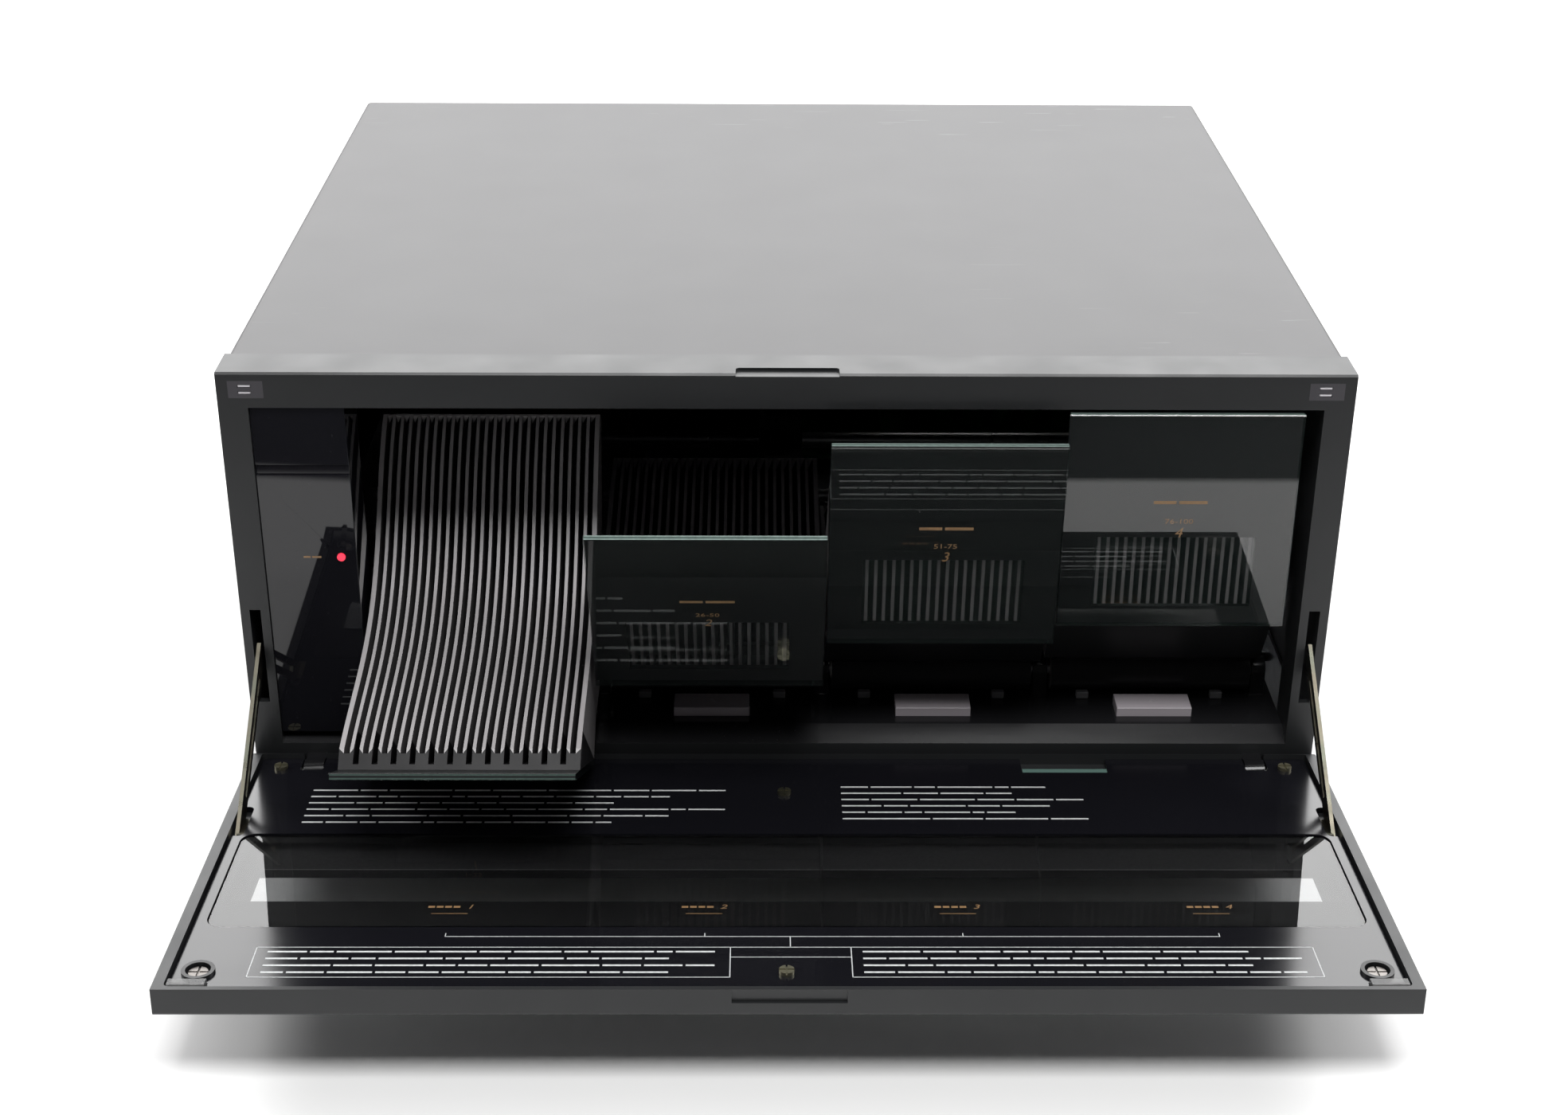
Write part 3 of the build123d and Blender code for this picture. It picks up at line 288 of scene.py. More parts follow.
PAINT = cover_paint()
BEZEL = moulded("bezel_plastic", (0.018, 0.019, 0.020), 0.38, 0.2, 0.1, 0.03, level=0.44)
DARK = moulded("inner_black_plastic", (0.012, 0.012, 0.013), 0.38, 0.2)
DECK = gloss("deck_black", (0.010, 0.010, 0.011), 0.16, 0.10)
LINER = gloss("liner_black", (0.006, 0.006, 0.008), 0.15, 0.05)
STRIP = gloss("strip_black", (0.007, 0.007, 0.009), 0.02, 0.02)
FEET = moulded("foot_black", (0.015, 0.015, 0.015), 0.6, 0.4)
RACK = rack_plastic()
BUTTON = moulded("button_grey_plastic", (0.50, 0.46, 0.49), 0.45, 0.15, 0.04)
SMOKED = smoked("smoked_acrylic", (0.010, 0.016, 0.014), 0.35, 0.004, 2.4)
DOOR_GLASS = clear_glass("smoked_door_glass", (0.60, 0.61, 0.61), 1.5)
INNER_SHADE = printed("inner_shade", (0.032, 0.032, 0.034), 0.5)
# painted highlight for the edge inside the door
INNER_EDGE_HIGHLIGHT = printed("inner_edge_painted_highlight", (0.16, 0.15, 0.155), 0.4)
LENS = smoked("green_lens", (0.14, 0.24, 0.21), 0.75, 0.08, 1.5)
PAD = smoked("clear_rubber", (0.20, 0.20, 0.20), 0.45, 0.22, 1.5)
BACK_PAINT = printed("back_paint_black", (0.004, 0.004, 0.005), 0.5)
# painted highlight lines for the panels' polished edges, and the darker core between them
EDGE_HIGHLIGHT = printed("acrylic_edge_painted_highlight", (0.20, 0.26, 0.24), 0.55, level=0.1)
EDGE_DARK = printed("acrylic_edge_core", (0.06, 0.09, 0.08), 0.55, level=0.1)
GOLD_INK = printed("gold_ink", (0.30, 0.18, 0.085), 0.35)
WHITE_INK = printed("white_ink", (0.62, 0.64, 0.64), 0.4)
LAMP = printed("lamp_red", (0.85, 0.035, 0.07), 0.25, 1.1)
LATCH = moulded("latch_grey", (0.050, 0.047, 0.054), 0.36, 0.15, 0.08, 0.03)
TONGUE = moulded("latch_tongue", (0.66, 0.64, 0.67), 0.35, 0.1, 0.05, 0.03)
STOP = moulded("stop_rubber", (0.13, 0.13, 0.135), 0.5, 0.25, 0.15)
MARK_INK = printed("button_mark", (0.62, 0.58, 0.61), 0.4)
YELLOW_ZINC = brushed("yellow_zinc", (0.15, 0.135, 0.105), 0.32, (1, 1, 8), (0.12, 0.125, 0.10))
BRASS_SCREW = brushed("plated_screw", (0.40, 0.36, 0.24), 0.42, (1, 1, 1), (0.30, 0.29, 0.21))
CUP_SCREW = brushed("bright_plated_screw", (0.30, 0.28, 0.265), 0.42, (1, 1, 1))
STEEL = brushed("oiled_steel", (0.40, 0.40, 0.40), 0.34, (8, 1, 1))
ZINC = brushed("zinc_sheet", (0.46, 0.47, 0.48), 0.4, (1, 5, 5), (0.52, 0.53, 0.55))
BLACK_SCREW = moulded("black_oxide", (0.02, 0.02, 0.02), 0.35, 0.2, metal=0.6)
CORE = moulded("varnished_core", (0.09, 0.055, 0.035), 0.4, 0.6, 0.3)
JACKS = brushed("jack_plate", (0.62, 0.58, 0.48), 0.25, (1, 1, 1))
WHITE_PLASTIC = moulded("white_plastic", (0.7, 0.7, 0.67), 0.45)
RUBBER = moulded("belt_rubber", (0.02, 0.02, 0.02), 0.7, 0.4)
BOARD = moulded("board_green", (0.03, 0.14, 0.055), 0.35, 0.5, 0.3)

FINISH = {
    "cover": PAINT, "rear_panel": PAINT, "base": ZINC, "cover_screws": BLACK_SCREW, "feet": FEET,
    "audio_jacks": JACKS, "mains_inlet": DARK, "bezel": BEZEL, "latch_plate_left": LATCH,
    "latch_plate_right": LATCH, "button_deck": DECK, "side_strip": STRIP, "standby_lamp": LAMP,
    "door_shell": BEZEL, "door_liner": LINER, "door_window": DOOR_GLASS, "display_lens": SMOKED,
    "sensor_lens": LENS, "door_stay_left": YELLOW_ZINC, "door_stay_right": YELLOW_ZINC,
    "striker_cup_left": DARK, "striker_cup_right": DARK,
    "corner_pad_left": PAD, "corner_pad_right": PAD,
    "cup_screws": CUP_SCREW, "liner_screws": BRASS_SCREW, "hinge_pins": STEEL,
    "power_key": BEZEL, "play_key": BEZEL, "stop_key": BEZEL, "skip_key": BEZEL,
    "mechanism_bracket_left": ZINC, "mechanism_bracket_right": ZINC, "guide_rods": STEEL,
    "lead_screw": STEEL, "carriage_motor": ZINC, "drive_belt": RUBBER, "carriage": DARK,
    "turntable": WHITE_PLASTIC, "pickup": DARK, "transformer": CORE, "main_board": BOARD,
}
for n in (1, 2, 3, 4):
    FINISH[f"rack_{n}_tray"] = RACK
    FINISH[f"rack_{n}_panel"] = SMOKED
    FINISH[f"rack_{n}_axle"] = STEEL
    FINISH[f"eject_button_{n}"] = BUTTON
for n in (2, 3):
    FINISH[f"rack_{n}_sleeve"] = WHITE_PLASTIC


def paint(piece, material):
    piece.data.materials.clear()
    piece.data.materials.append(material)


for node_name, material in FINISH.items():
    paint(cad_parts[node_name], material)


# ---------------------------------------------------------------- modelling helpers
def only(piece):
    """Make one piece the selected and active one."""
    bpy.ops.object.select_all(action="DESELECT")
    piece.select_set(True)
    bpy.context.view_layer.objects.active = piece


def settle(piece):
    """Put the piece's place into its mesh."""
    only(piece)
    bpy.ops.object.transform_apply(location=True, rotation=True, scale=True)


def join(pieces, name):
    bpy.ops.object.select_all(action="DESELECT")
    for piece in pieces:
        piece.select_set(True)
    bpy.context.view_layer.objects.active = pieces[0]
    if len(pieces) > 1:
        bpy.ops.object.join()
    pieces[0].name = name
    return pieces[0]


def ink_or_painted_light_strip(x0, x1, v0, v1, thick=INK):
    """A flat bar in a local plane, metres, v up: printed ink, and also the painted highlight and
    painted shade strips.
    """
    bpy.ops.mesh.primitive_plane_add(size=1, location=((x0 + x1) / 2, (v0 + v1) / 2, 0))
    bar = bpy.context.object
    bar.scale = (abs(x1 - x0), abs(v1 - v0), 1)
    settle(bar)
    solid = bar.modifiers.new("ink", "SOLIDIFY")
    solid.thickness = thick
    solid.offset = 1.0
    bpy.ops.object.modifier_apply(modifier=solid.name)
    return bar


def numeral(text, x, v, size, slant=0.0, wide=1.0):
    """Plain printed numerals in a local plane, metres."""
    bpy.ops.object.text_add(location=(0, 0, 0))
    letters = bpy.context.object
    letters.data.body = text
    letters.data.align_x = "CENTER"
    letters.data.align_y = "CENTER"
    letters.data.size = size
    letters.data.shear = slant
    letters.data.resolution_u = 2
    letters.data.extrude = 0.00002
    bpy.ops.object.convert(target="MESH")
    letters = bpy.context.object
    letters.location = (x, v, 0.00002)
    letters.scale = (wide, 1, 1)
    settle(letters)
    return letters


def put(piece, matrix, body, material):
    """Move a flat print or a painted highlight or shade strip onto its surface and hang it on a body.
    """
    piece.data.transform(matrix)
    paint(piece, material)
    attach(piece, body)


def plane_matrix(origin, right, up):
    out = right.cross(up)
    m = Matrix.Identity(4)
    for i in range(3):
        m[i][0], m[i][1], m[i][2], m[i][3] = right[i], up[i], out[i], origin[i]
    return m


def rack_matrix(i):
    """From a rack panel's own plane (right, up from the pivot) to the row."""
    a = radians(SWINGS[i])
    up = Vector((0, -sin(a), cos(a)))
    ahead = Vector((0, -cos(a), -sin(a)))
    origin = at(RACK_X[i], *PIVOT) + ahead * (-PANEL_FRONT + PRINT_LIFT) * MM
    return plane_matrix(origin, Vector((1, 0, 0)), up)


def door_matrix(sink):
    """From the open door's inner face (right, back from the free end) to the row."""
    t = radians(DOOR_TILT)
    back = Vector((0, cos(t), -sin(t)))
    out = Vector((0, sin(t), cos(t)))
    origin = at(0, *HINGE) - back * DOOR_REACH * MM + out * (DOOR_FACE - sink + PRINT_LIFT) * MM
    return plane_matrix(origin, Vector((1, 0, 0)), back)


def dashes(x0, x1, v, height, words, gap=0.0011):
    """A row of greyed words: short bars of uneven length."""
    total = sum(words)
    room = (x1 - x0) - gap * (len(words) - 1)
    bars = []
    x = x0
    for w in words:
        step = room * w / total
        bars.append(ink_or_painted_light_strip(x, x + step, v - height / 2, v + height / 2))
        x += step + gap
    return bars


def frame_of_ink(x0, x1, v0, v1, line):
    return [ink_or_painted_light_strip(x0, x1, v0, v0 + line), ink_or_painted_light_strip(x0, x1, v1 - line, v1),
            ink_or_painted_light_strip(x0, x0 + line, v0, v1), ink_or_painted_light_strip(x1 - line, x1, v0, v1)]


# ---------------------------------------------------------------- CAD shapes with softer edges
def joined_copy(node):
    """The CAD node's own shape in one skin, to be finished further."""
    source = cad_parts[node]
    piece = bpy.data.objects.new(f"{node}_finished", source.data.copy())
    bpy.context.scene.collection.objects.link(piece)
    piece.data.transform(source.matrix_world)
    only(piece)
    bpy.ops.object.mode_set(mode="EDIT")
    bpy.ops.mesh.select_all(action="SELECT")
    bpy.ops.mesh.remove_doubles(threshold=0.000002)
    bpy.ops.mesh.dissolve_limited(angle_limit=radians(0.4))
    bpy.ops.mesh.select_all(action="SELECT")
    bpy.ops.mesh.quads_convert_to_tris(ngon_method="BEAUTY")
    bpy.ops.mesh.select_all(action="DESELECT")
    bpy.ops.object.mode_set(mode="OBJECT")
    if piece.data.has_custom_normals:
        bpy.ops.mesh.customdata_custom_splitnormals_clear()
    return piece


def even_sheen(piece, angle=38):
    """Smooth the rounded parts and keep the flats flat."""
    only(piece)
    bpy.ops.object.shade_smooth_by_angle(angle=radians(angle))
    even = piece.modifiers.new("even", "WEIGHTED_NORMAL")
    even.keep_sharp = True
    bpy.ops.object.modifier_apply(modifier=even.name)


def softened(node, width, material, body, segments=2, angle=40):
    """The CAD node's own shape with its sharp edges rounded."""
    piece = joined_copy(node)
    edge = piece.modifiers.new("edge", "BEVEL")
    edge.width = width * MM
    edge.segments = segments
    edge.limit_method = "ANGLE"
    edge.angle_limit = radians(angle)
    edge.use_clamp_overlap = True
    edge.miter_outer = "MITER_SHARP"
    bpy.ops.object.modifier_apply(modifier=edge.name)
    even_sheen(piece)
    paint(piece, material)
    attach(piece, body)
    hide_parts(node)
    return piece


bezel = softened("bezel", 0.5, BEZEL, "housing")
# the sloping sill and the hinge ears are black
bezel.data.materials.append(DECK)
for face in bezel.data.polygons:
    y = face.center.y / MM + MID_Y
    z = face.center.z / MM
    on_sill = 28.0 < z < DECK_Z + 0.2 and 0.05 < y < 8.6 and abs(face.center.x) < OPENING_HALF * MM
    if y < -0.3 or on_sill:
        face.material_index = 1
softened("button_deck", 0.35, DECK, "housing")
softened("side_strip", 0.3, STRIP, "housing")
for n in (1, 2, 3, 4):
    softened(f"eject_button_{n}", 0.3, BUTTON, f"eject_{n}")

# side outline of the fins' upper edge about the pivot, Y and Z
FIN_LINE = ((-28.6, 110.7), (-8.0, 81.8), (16.4, 51.5), (41.0, 35.4), (72.9, 26.3), (105.7, 13.3))


def fin_height(y):
    for (y0, z0), (y1, z1) in zip(FIN_LINE, FIN_LINE[1:]):
        if y <= y1:
            return z0 + (z1 - z0) * (y - y0) / (y1 - y0)
    return FIN_LINE[-1][1]


def darkness_with_painted_shade(face, i):
    """How dark a face of rack i is: nose and hub black plastic, slot floors black as painted shade, fin
    sides dimmed by painted shade, fin edges left grey.
    """
    a = radians(SWINGS[i])
    x = face.center.x / MM - RACK_X[i]
    y = face.center.y / MM + MID_Y - PIVOT[0]
    z = face.center.z / MM - PIVOT[1]
    local_y = y * cos(a) + z * sin(a)
    local_z = z * cos(a) - y * sin(a)
    ahead = -(face.normal.y * cos(a) + face.normal.z * sin(a))
    behind_view = abs(x) < VIEW_X and VIEW_LOW - 3 < local_z < VIEW_HIGH
    if behind_view and PANEL_BACK + 1.4 < local_y < PANEL_BACK + 3.4 and ahead > 0.7:
        return 0.0
    if local_y < PANEL_BACK + 6.4:
        return 0.99
    # painted shade: fin sides dimmed, the tray's outer side walls less so
    if abs(face.normal.x) > 0.9:
        return 0.30 if abs(x) > RACK_W / 2 - 0.3 else 0.66
    # deep below a fin's edge: black plastic at the nose and hub, painted shade in the slot floors
    return 1.0 if local_z < fin_height(local_y) - FIN_DEPTH else 0.0


for i in range(4):
    tray = joined_copy(f"rack_{i + 1}_tray")
    # each face's darkness: black plastic, or painted shade on the fin sides and slot floors
    shade = tray.data.color_attributes.new("black_plastic_and_painted_shade", "FLOAT_COLOR", "CORNER")
    values = []
    for face in tray.data.polygons:
        dark = darkness_with_painted_shade(face, i)
        values += [dark, dark, dark, 1.0] * face.loop_total
    shade.data.foreach_set("color", values)
    even_sheen(tray, 30)
    paint(tray, RACK)
    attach(tray, f"rack_{i + 1}")
    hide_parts(f"rack_{i + 1}_tray")

# ---------------------------------------------------------------- rack panels: paint and print
RANGES = ("1-25", "26-50", "51-75", "76-100")
WORD_V, RANGE_V, NUMBER_V = 0.0957, 0.0874, 0.0824   # heights above the pivot
WORD_HALF, WORD_H = 0.0105, 0.0013
EDGE_STEPS = (0.0003, 0.0010, 0.0017, 0.0024)        # line, core, line across the panel's edge
for i in range(4):
    body = f"rack_{i + 1}"
    half = RACK_W / 2 * MM
    rim = half - 0.0002
    mask = [
        ink_or_painted_light_strip(-rim, rim, VIEW_HIGH * MM, (PANEL_TOP - 0.4) * MM),
        ink_or_painted_light_strip(-rim, rim, (PANEL_LOW + 0.3) * MM, VIEW_LOW * MM),
        ink_or_painted_light_strip(-rim, -VIEW_X * MM, VIEW_LOW * MM, VIEW_HIGH * MM),
        ink_or_painted_light_strip(VIEW_X * MM, rim, VIEW_LOW * MM, VIEW_HIGH * MM),
    ]
    mask = join(mask, f"rack_{i + 1}_back_paint")
    depth = Matrix.Translation((0, 0, -(PANEL_BACK - PANEL_FRONT - 0.12) * MM))
    put(mask, rack_matrix(i) @ depth, body, BACK_PAINT)
    marks = dashes(-WORD_HALF, WORD_HALF, WORD_V, WORD_H, (4, 5))
    marks.append(numeral(RANGES[i], 0, RANGE_V, 0.0030, wide=1.35))
    marks.append(numeral(str(i + 1), 0, NUMBER_V, 0.0062, slant=0.25))
    put(join(marks, f"rack_{i + 1}_print"), rack_matrix(i), body, GOLD_INK)
    # the polished upper edge: two painted highlight lines and a darker core; on the first rack the
    # painted highlights are dimmer and the core black
    onto_edge = Matrix.Translation((0, PANEL_TOP * MM, 0)) @ Matrix.Rotation(radians(-90), 4, "X")
    edge_up = rack_matrix(i) @ onto_edge
    end = half - 0.0003
    front, core_front, core_back, back = EDGE_STEPS
    highlights = [ink_or_painted_light_strip(-end, end, front, core_front, 0.00003),
             ink_or_painted_light_strip(-end, end, core_back, back, 0.00003)]
    lines = join(highlights, f"rack_{i + 1}_edge_highlights")
    put(lines, edge_up, body, EDGE_HIGHLIGHT if i else EDGE_DARK)
    core = ink_or_painted_light_strip(-end, end, core_front, core_back, 0.00003)
    core.name = f"rack_{i + 1}_edge_core"
    put(core, edge_up, body, EDGE_DARK if i else BACK_PAINT)

# ---------------------------------------------------------------- door print
liner_plane = door_matrix(LINER_SINK)
window_plane = door_matrix(GLASS_SINK)
NAME_V, UNDERLINE_V = 0.0590, 0.0542
gold = []
for i in range(4):
    x = RACK_X[i] * MM
    gold += dashes(x - 0.0082, x + 0.0034, NAME_V, WORD_H, (3, 3, 3, 3), 0.0007)
    gold.append(numeral(str(i + 1), x + 0.0070, NAME_V, 0.0040, slant=0.25, wide=1.3))
    gold.append(ink_or_painted_light_strip(x - 0.0066, x + 0.0066, UNDERLINE_V, UNDERLINE_V + 0.0003))
put(join(gold, "door_numerals"), window_plane, "door", GOLD_INK)


def window_frame(half_x, low, high, edge):
    """Four bars inside the glass outline that leave a clear field, shut-door heights."""
    glass_x, glass_low, glass_high = GLASS
    outer = (glass_x - edge) * MM
    bottom, top = (DOOR_TOP - glass_high + edge) * MM, (DOOR_TOP - glass_low - edge) * MM
    v0, v1 = (DOOR_TOP - high) * MM, (DOOR_TOP - low) * MM
    return [ink_or_painted_light_strip(-outer, outer, bottom, v0), ink_or_painted_light_strip(-outer, outer, v1, top),
            ink_or_painted_light_strip(-outer, -half_x * MM, v0, v1), ink_or_painted_light_strip(half_x * MM, outer, v0, v1)]


# black paint round the clear part of the door glass
glass_paint = join(window_frame(*WINDOW, 1.2), "door_glass_paint")
put(glass_paint, door_matrix(GLASS_SINK + 0.3), "door", BACK_PAINT)
# the inside of the door below the glass as a charcoal sheet, with a painted highlight along the edge of
# its own opening and painted shade in the band below that edge
hole_x, hole_low = VIEW_HOLE
hole_high = GLASS[2] - 1.3
shade = window_frame(hole_x, hole_low, hole_high, 0.6)
put(join(shade, "door_inner_shade"), door_matrix(SHADE_SINK), "door", INNER_SHADE)
# painted highlight on the lip, painted shade in the well below it
BANDS = (
    ("door_inner_lip_highlight", LIP, INNER_EDGE_HIGHLIGHT, "charcoal_plastic"),
    ("door_inner_well_shade", WELL, BACK_PAINT, "smoked"),
)
for name, (low, high), ink, slot in BANDS:
    band = ink_or_painted_light_strip(-hole_x * MM, hole_x * MM, (DOOR_TOP - high) * MM, (DOOR_TOP - low) * MM)
    band.name = name
    put(band, door_matrix(SHADE_SINK - 0.2), "door", ink)

strip_plane = plane_matrix(at(0, STRIP_FACE - PRINT_LIFT, 0), Vector((1, 0, 0)), Vector((0, 0, 1)))
lamp_mark = join(dashes(-0.1905, -0.1835, 0.1144, 0.0008, (3, 4), 0.0006), "lamp_mark")
put(lamp_mark, strip_plane, "housing", GOLD_INK)

# white line work: a bracket that ties the rack numbers to the boxes, and the two boxes,
# metres from the door's middle and from its free end
BRACKET_V, BRACKET_TOP = 0.0376, 0.0400
BRACKET_X = (-0.1222, -0.0300, 0.0620, 0.1539 - HAIR)
BOX_LOW, BOX_HIGH = 0.0113, 0.0309
BOX_L = (-0.1874, -0.0204)
BOX_R = (0.0218, 0.1855)
MID_X = 0.0004
MID_V = (0.0241, 0.0312)
white = [ink_or_painted_light_strip(BRACKET_X[0], BRACKET_X[3] + HAIR, BRACKET_V, BRACKET_V + HAIR)]
for x in BRACKET_X:
    white.append(ink_or_painted_light_strip(x, x + HAIR, BRACKET_V, BRACKET_TOP))
white.append(ink_or_painted_light_strip(MID_X, MID_X + HAIR, MID_V[1], BRACKET_V))
white += frame_of_ink(*BOX_L, BOX_LOW, BOX_HIGH, HAIR)
white += frame_of_ink(*BOX_R, BOX_LOW, BOX_HIGH, HAIR)
for v in (BOX_HIGH - HAIR, MID_V[0]):
    white.append(ink_or_painted_light_strip(BOX_L[1], BOX_R[0], v, v + HAIR))

# greyed lines of words in the boxes and above the window
ROWS = ((5, 3, 7, 4, 6), (4, 6, 3, 8, 2, 5), (7, 4, 5, 3), (3, 5, 6, 4, 4, 3))
LETTER = 0.0010
BOX_ROW, BOX_STEP = 0.0278, 0.0044
for r in range(4):
    v = BOX_ROW - r * BOX_STEP
    white += dashes(-0.1830, -0.0260 - 0.016 * (r % 2), v, LETTER, ROWS[r] + ROWS[(r + 1) % 4])
    white += dashes(0.0260, 0.1800 - 0.018 * ((r + 1) % 2), v, LETTER, ROWS[(r + 2) % 4] + ROWS[r])
UPPER_ROW, UPPER_STEP = 0.1470, 0.0052
for r in range(6):
    v = UPPER_ROW - r * UPPER_STEP
    white += dashes(-0.1880, -0.0240 - 0.022 * (r % 3), v, LETTER, ROWS[r % 4] + ROWS[(r + 2) % 4])
    white += dashes(0.0220, 0.1180 - 0.014 * ((r + 1) % 3), v + 0.003, LETTER, ROWS[(r + 1) % 4])
put(join(white, "door_marks"), liner_plane, "door", WHITE_INK)

# ---------------------------------------------------------------- small fittings
def rounded_block(name, low, high, edge):
    """A small moulded block between two corners in the row, its edges rounded."""
    bpy.ops.object.select_all(action="DESELECT")
    bpy.ops.mesh.primitive_cube_add(size=1, location=(low + high) / 2)
    piece = bpy.context.object
    piece.name = name
    piece.scale = high - low
    settle(piece)
    soft = piece.modifiers.new("edge", "BEVEL")
    soft.width = edge * MM
    soft.segments = 3
    bpy.ops.object.modifier_apply(modifier=soft.name)
    even_sheen(piece, 50)
    return piece


# bright latch tongues in their slots, mm
LATCH_X, LATCH_DROP, LATCH_STEP = 206.3, 6.9, 1.4
TONGUE_X, TONGUE_Y, TONGUE_H = (-2.9, 1.9), (0.15, 0.95), 0.5
tongues = []
for x in (-LATCH_X, LATCH_X):
    for dz in (-LATCH_STEP, LATCH_STEP):
        z = HEIGHT - LATCH_DROP + dz
        low = at(x + TONGUE_X[0], TONGUE_Y[0], z - TONGUE_H)
        high = at(x + TONGUE_X[1], TONGUE_Y[1], z + TONGUE_H)
        tongues.append(rounded_block("tongue", low, high, 0.35))
tongues = join(tongues, "latch_tongues")
paint(tongues, TONGUE)
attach(tongues, "housing")

# two rubber stops behind each eject button, mm
STOP_X, STOP_HALF = 28.2, 2.6
STOP_LOW, STOP_HIGH = (28.6, DECK_Z - 0.05), (31.6, DECK_Z + 3.0)
stops = []
for x in RACK_X:
    for dx in (-STOP_X, STOP_X):
        low = at(x + dx - STOP_HALF, *STOP_LOW)
        high = at(x + dx + STOP_HALF, *STOP_HIGH)
        stops.append(rounded_block("stop", low, high, 0.5))
stops = join(stops, "rack_stops")
paint(stops, STOP)
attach(stops, "housing")

# a small triangle on each eject button
MARK_R = 0.0021
for i in range(4):
    bpy.ops.mesh.primitive_circle_add(vertices=3, radius=MARK_R, fill_type="NGON")
    mark = bpy.context.object
    mark.name = f"eject_mark_{i + 1}"
    solid = mark.modifiers.new("ink", "SOLIDIFY")
    solid.thickness = INK
    solid.offset = 1.0
    bpy.ops.object.modifier_apply(modifier=solid.name)
    centre = at(RACK_X[i], BUTTON_MID, BUTTON_TOP + PRINT_LIFT)
    top = plane_matrix(centre, Vector((1, 0, 0)), Vector((0, 1, 0)))
    put(mark, top, f"eject_{i + 1}", MARK_INK)

# ---------------------------------------------------------------- stage, light and camera
bpy.ops.mesh.primitive_plane_add(size=12, location=(0, 0, 0))
floor = bpy.context.object
floor.name = "floor"
mat, nodes, links, body, coords = new_material("floor_pale")
body.inputs["Base Color"].default_value = (0.96, 0.96, 0.955, 1)
body.inputs["Roughness"].default_value = 0.7
# painted reflection: for glossy rays the floor turns dark a little way in front of the door, so the
# panels mirror a dark front; to the camera it stays pale
MIRROR_DARK_START = (-0.432, -0.424)
dark_in_mirrors = nodes.new("ShaderNodeBsdfDiffuse")
dark_in_mirrors.inputs["Color"].default_value = (0.03, 0.03, 0.033, 1)
rays = nodes.new("ShaderNodeLightPath")
place = nodes.new("ShaderNodeSeparateXYZ")
links.new(coords.outputs["Object"], place.inputs["Vector"])
beyond = ramp(nodes, links, place.outputs["Y"], *MIRROR_DARK_START, 1, 0)
gate = nodes.new("ShaderNodeMath")
gate.operation = "MULTIPLY"
links.new(beyond, gate.inputs[0])
links.new(rays.outputs["Is Glossy Ray"], gate.inputs[1])
either = nodes.new("ShaderNodeMixShader")
links.new(gate.outputs[0], either.inputs["Fac"])
links.new(body.outputs["BSDF"], either.inputs[1])
links.new(dark_in_mirrors.outputs["BSDF"], either.inputs[2])
links.new(either.outputs["Shader"], nodes["Material Output"].inputs["Surface"])
paint(floor, mat)

world = bpy.data.worlds.new("studio")
bpy.context.scene.world = world
world.use_nodes = True
wn = world.node_tree.nodes
wl = world.node_tree.links
sky = wn["Background"]
heading = wn.new("ShaderNodeTexCoord")
split = wn.new("ShaderNodeSeparateXYZ")
wl.new(heading.outputs["Generated"], split.inputs["Vector"])


def graded(output, start, end, low, high):
    """A soft step of a world direction, low to high."""
    node = wn.new("ShaderNodeMapRange")
    node.interpolation_type = "SMOOTHSTEP"
    node.inputs["From Min"].default_value = start
    node.inputs["From Max"].default_value = end
    node.inputs["To Min"].default_value = low
    node.inputs["To Max"].default_value = high
    wl.new(output, node.inputs["Value"])
    return node.outputs["Result"]


def combined(operation, a, b):
    node = wn.new("ShaderNodeMath")
    node.operation = operation
    wl.new(a, node.inputs[0])
    wl.new(b, node.inputs[1])
    return node.outputs[0]


# bright behind the object and at its sides, dim on the camera's side
rear = graded(split.outputs["Y"], -0.10, 0.45, 0.03, 0.90)
sideways = wn.new("ShaderNodeMath")
sideways.operation = "ABSOLUTE"
wl.new(split.outputs["X"], sideways.inputs[0])
flank = graded(sideways.outputs[0], 0.55, 0.90, 0.03, 0.40)
wl.new(combined("MAXIMUM", rear, flank), sky.inputs["Strength"])
sky.inputs["Color"].default_value = (1.0, 0.985, 1.0, 1)
white_sky = wn.new("ShaderNodeBackground")
white_sky.inputs["Color"].default_value = (1, 1, 1, 1)
white_sky.inputs["Strength"].default_value = 1.0
path = wn.new("ShaderNodeLightPath")
mirrored = combined("MAXIMUM", path.outputs["Is Glossy Ray"], path.outputs["Is Transmission Ray"])
seen_behind = combined("MULTIPLY", mirrored, graded(split.outputs["Y"], 0.05, 0.40, 0.0, 1.0))
choose = wn.new("ShaderNodeMixShader")
wl.new(combined("MAXIMUM", path.outputs["Is Camera Ray"], seen_behind), choose.inputs["Fac"])
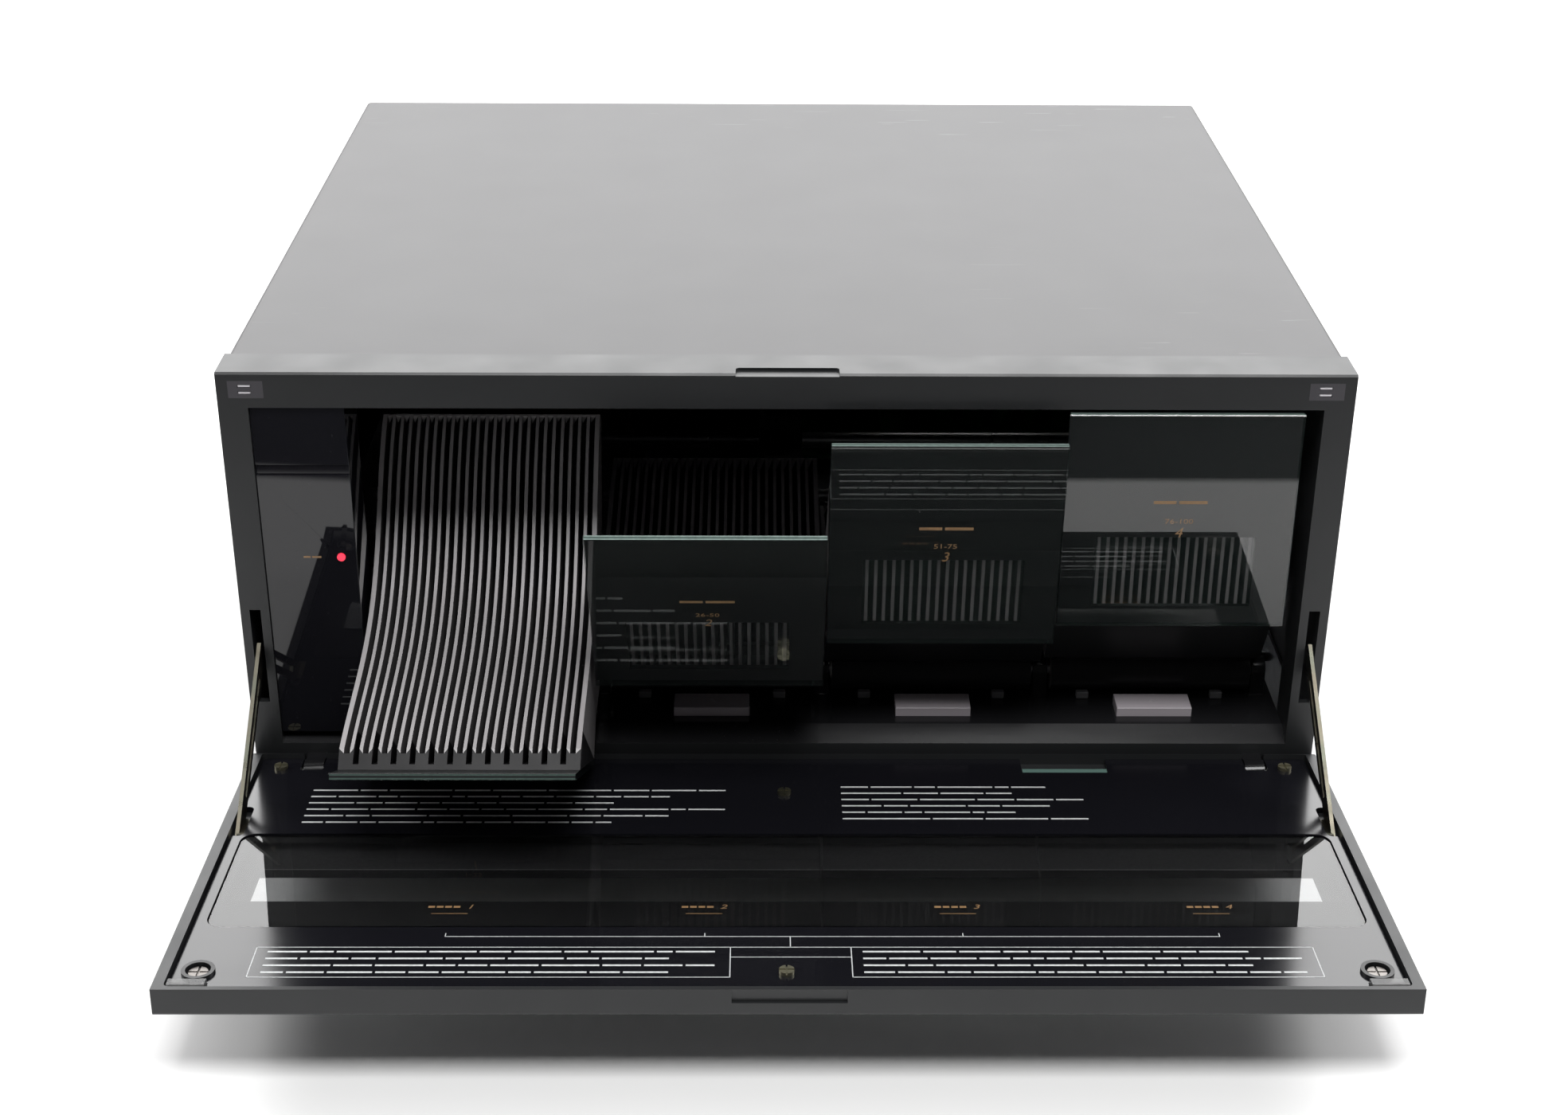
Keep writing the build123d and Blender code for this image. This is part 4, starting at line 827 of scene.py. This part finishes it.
wl.new(sky.outputs["Background"], choose.inputs[1])
wl.new(white_sky.outputs["Background"], choose.inputs[2])
wl.new(choose.outputs["Shader"], wn["World Output"].inputs["Surface"])


def softbox(name, where, target, width, height, power):
    lamp = bpy.data.lights.new(name, "AREA")
    lamp.shape = "RECTANGLE"
    lamp.size = width
    lamp.size_y = height
    lamp.energy = power
    obj = bpy.data.objects.new(name, lamp)
    bpy.context.scene.collection.objects.link(obj)
    obj.location = where
    obj.rotation_euler = (Vector(target) - Vector(where)).to_track_quat("-Z", "Y").to_euler()


# name, place and target in metres, width, height, watts
SOFTBOXES = (
    ("key_softbox", (0.1, -0.86, 1.98), (0, -0.05, 0.1), 1.2, 0.75, 37),
    ("rear_softbox", (0.0, 2.2, 1.25), (0, 0, 0.15), 3.3, 1.1, 48),
    ("left_softbox", (-1.3, 0.35, 0.80), (-0.2, -0.1, 0), 0.6, 0.4, 10),
    ("right_softbox", (1.3, 0.35, 0.80), (0.2, -0.1, 0), 0.6, 0.4, 10),
)
for settings in SOFTBOXES:
    softbox(*settings)

# the photograph's camera: turns in radians, place in mm from the foot of the bezel's front plane,
# focal length and photo width in pixels, sensor width in mm
PITCH, YAW, ROLL = 0.4647729, 0.0110739, 0.0066367
EYE = (-10.0656, -823.5611, 528.0445)
FOCAL, PHOTO_WIDTH, SENSOR = 2930.421, 1969, 36.0
scene = bpy.context.scene
scene.view_settings.view_transform = "Standard"
look = Vector((sin(YAW) * cos(PITCH), cos(YAW) * cos(PITCH), -sin(PITCH)))
side = Vector((cos(YAW), -sin(YAW), 0))
rise = side.cross(look)
right = cos(ROLL) * side + sin(ROLL) * rise
up = -sin(ROLL) * side + cos(ROLL) * rise
camera = bpy.data.objects.new("photo_camera", bpy.data.cameras.new("photo_camera"))
scene.collection.objects.link(camera)
camera.data.sensor_width = SENSOR
camera.data.sensor_fit = "HORIZONTAL"
camera.data.lens = SENSOR * FOCAL / PHOTO_WIDTH
camera.matrix_world = plane_matrix(at(*EYE), right, up)
scene.camera = camera
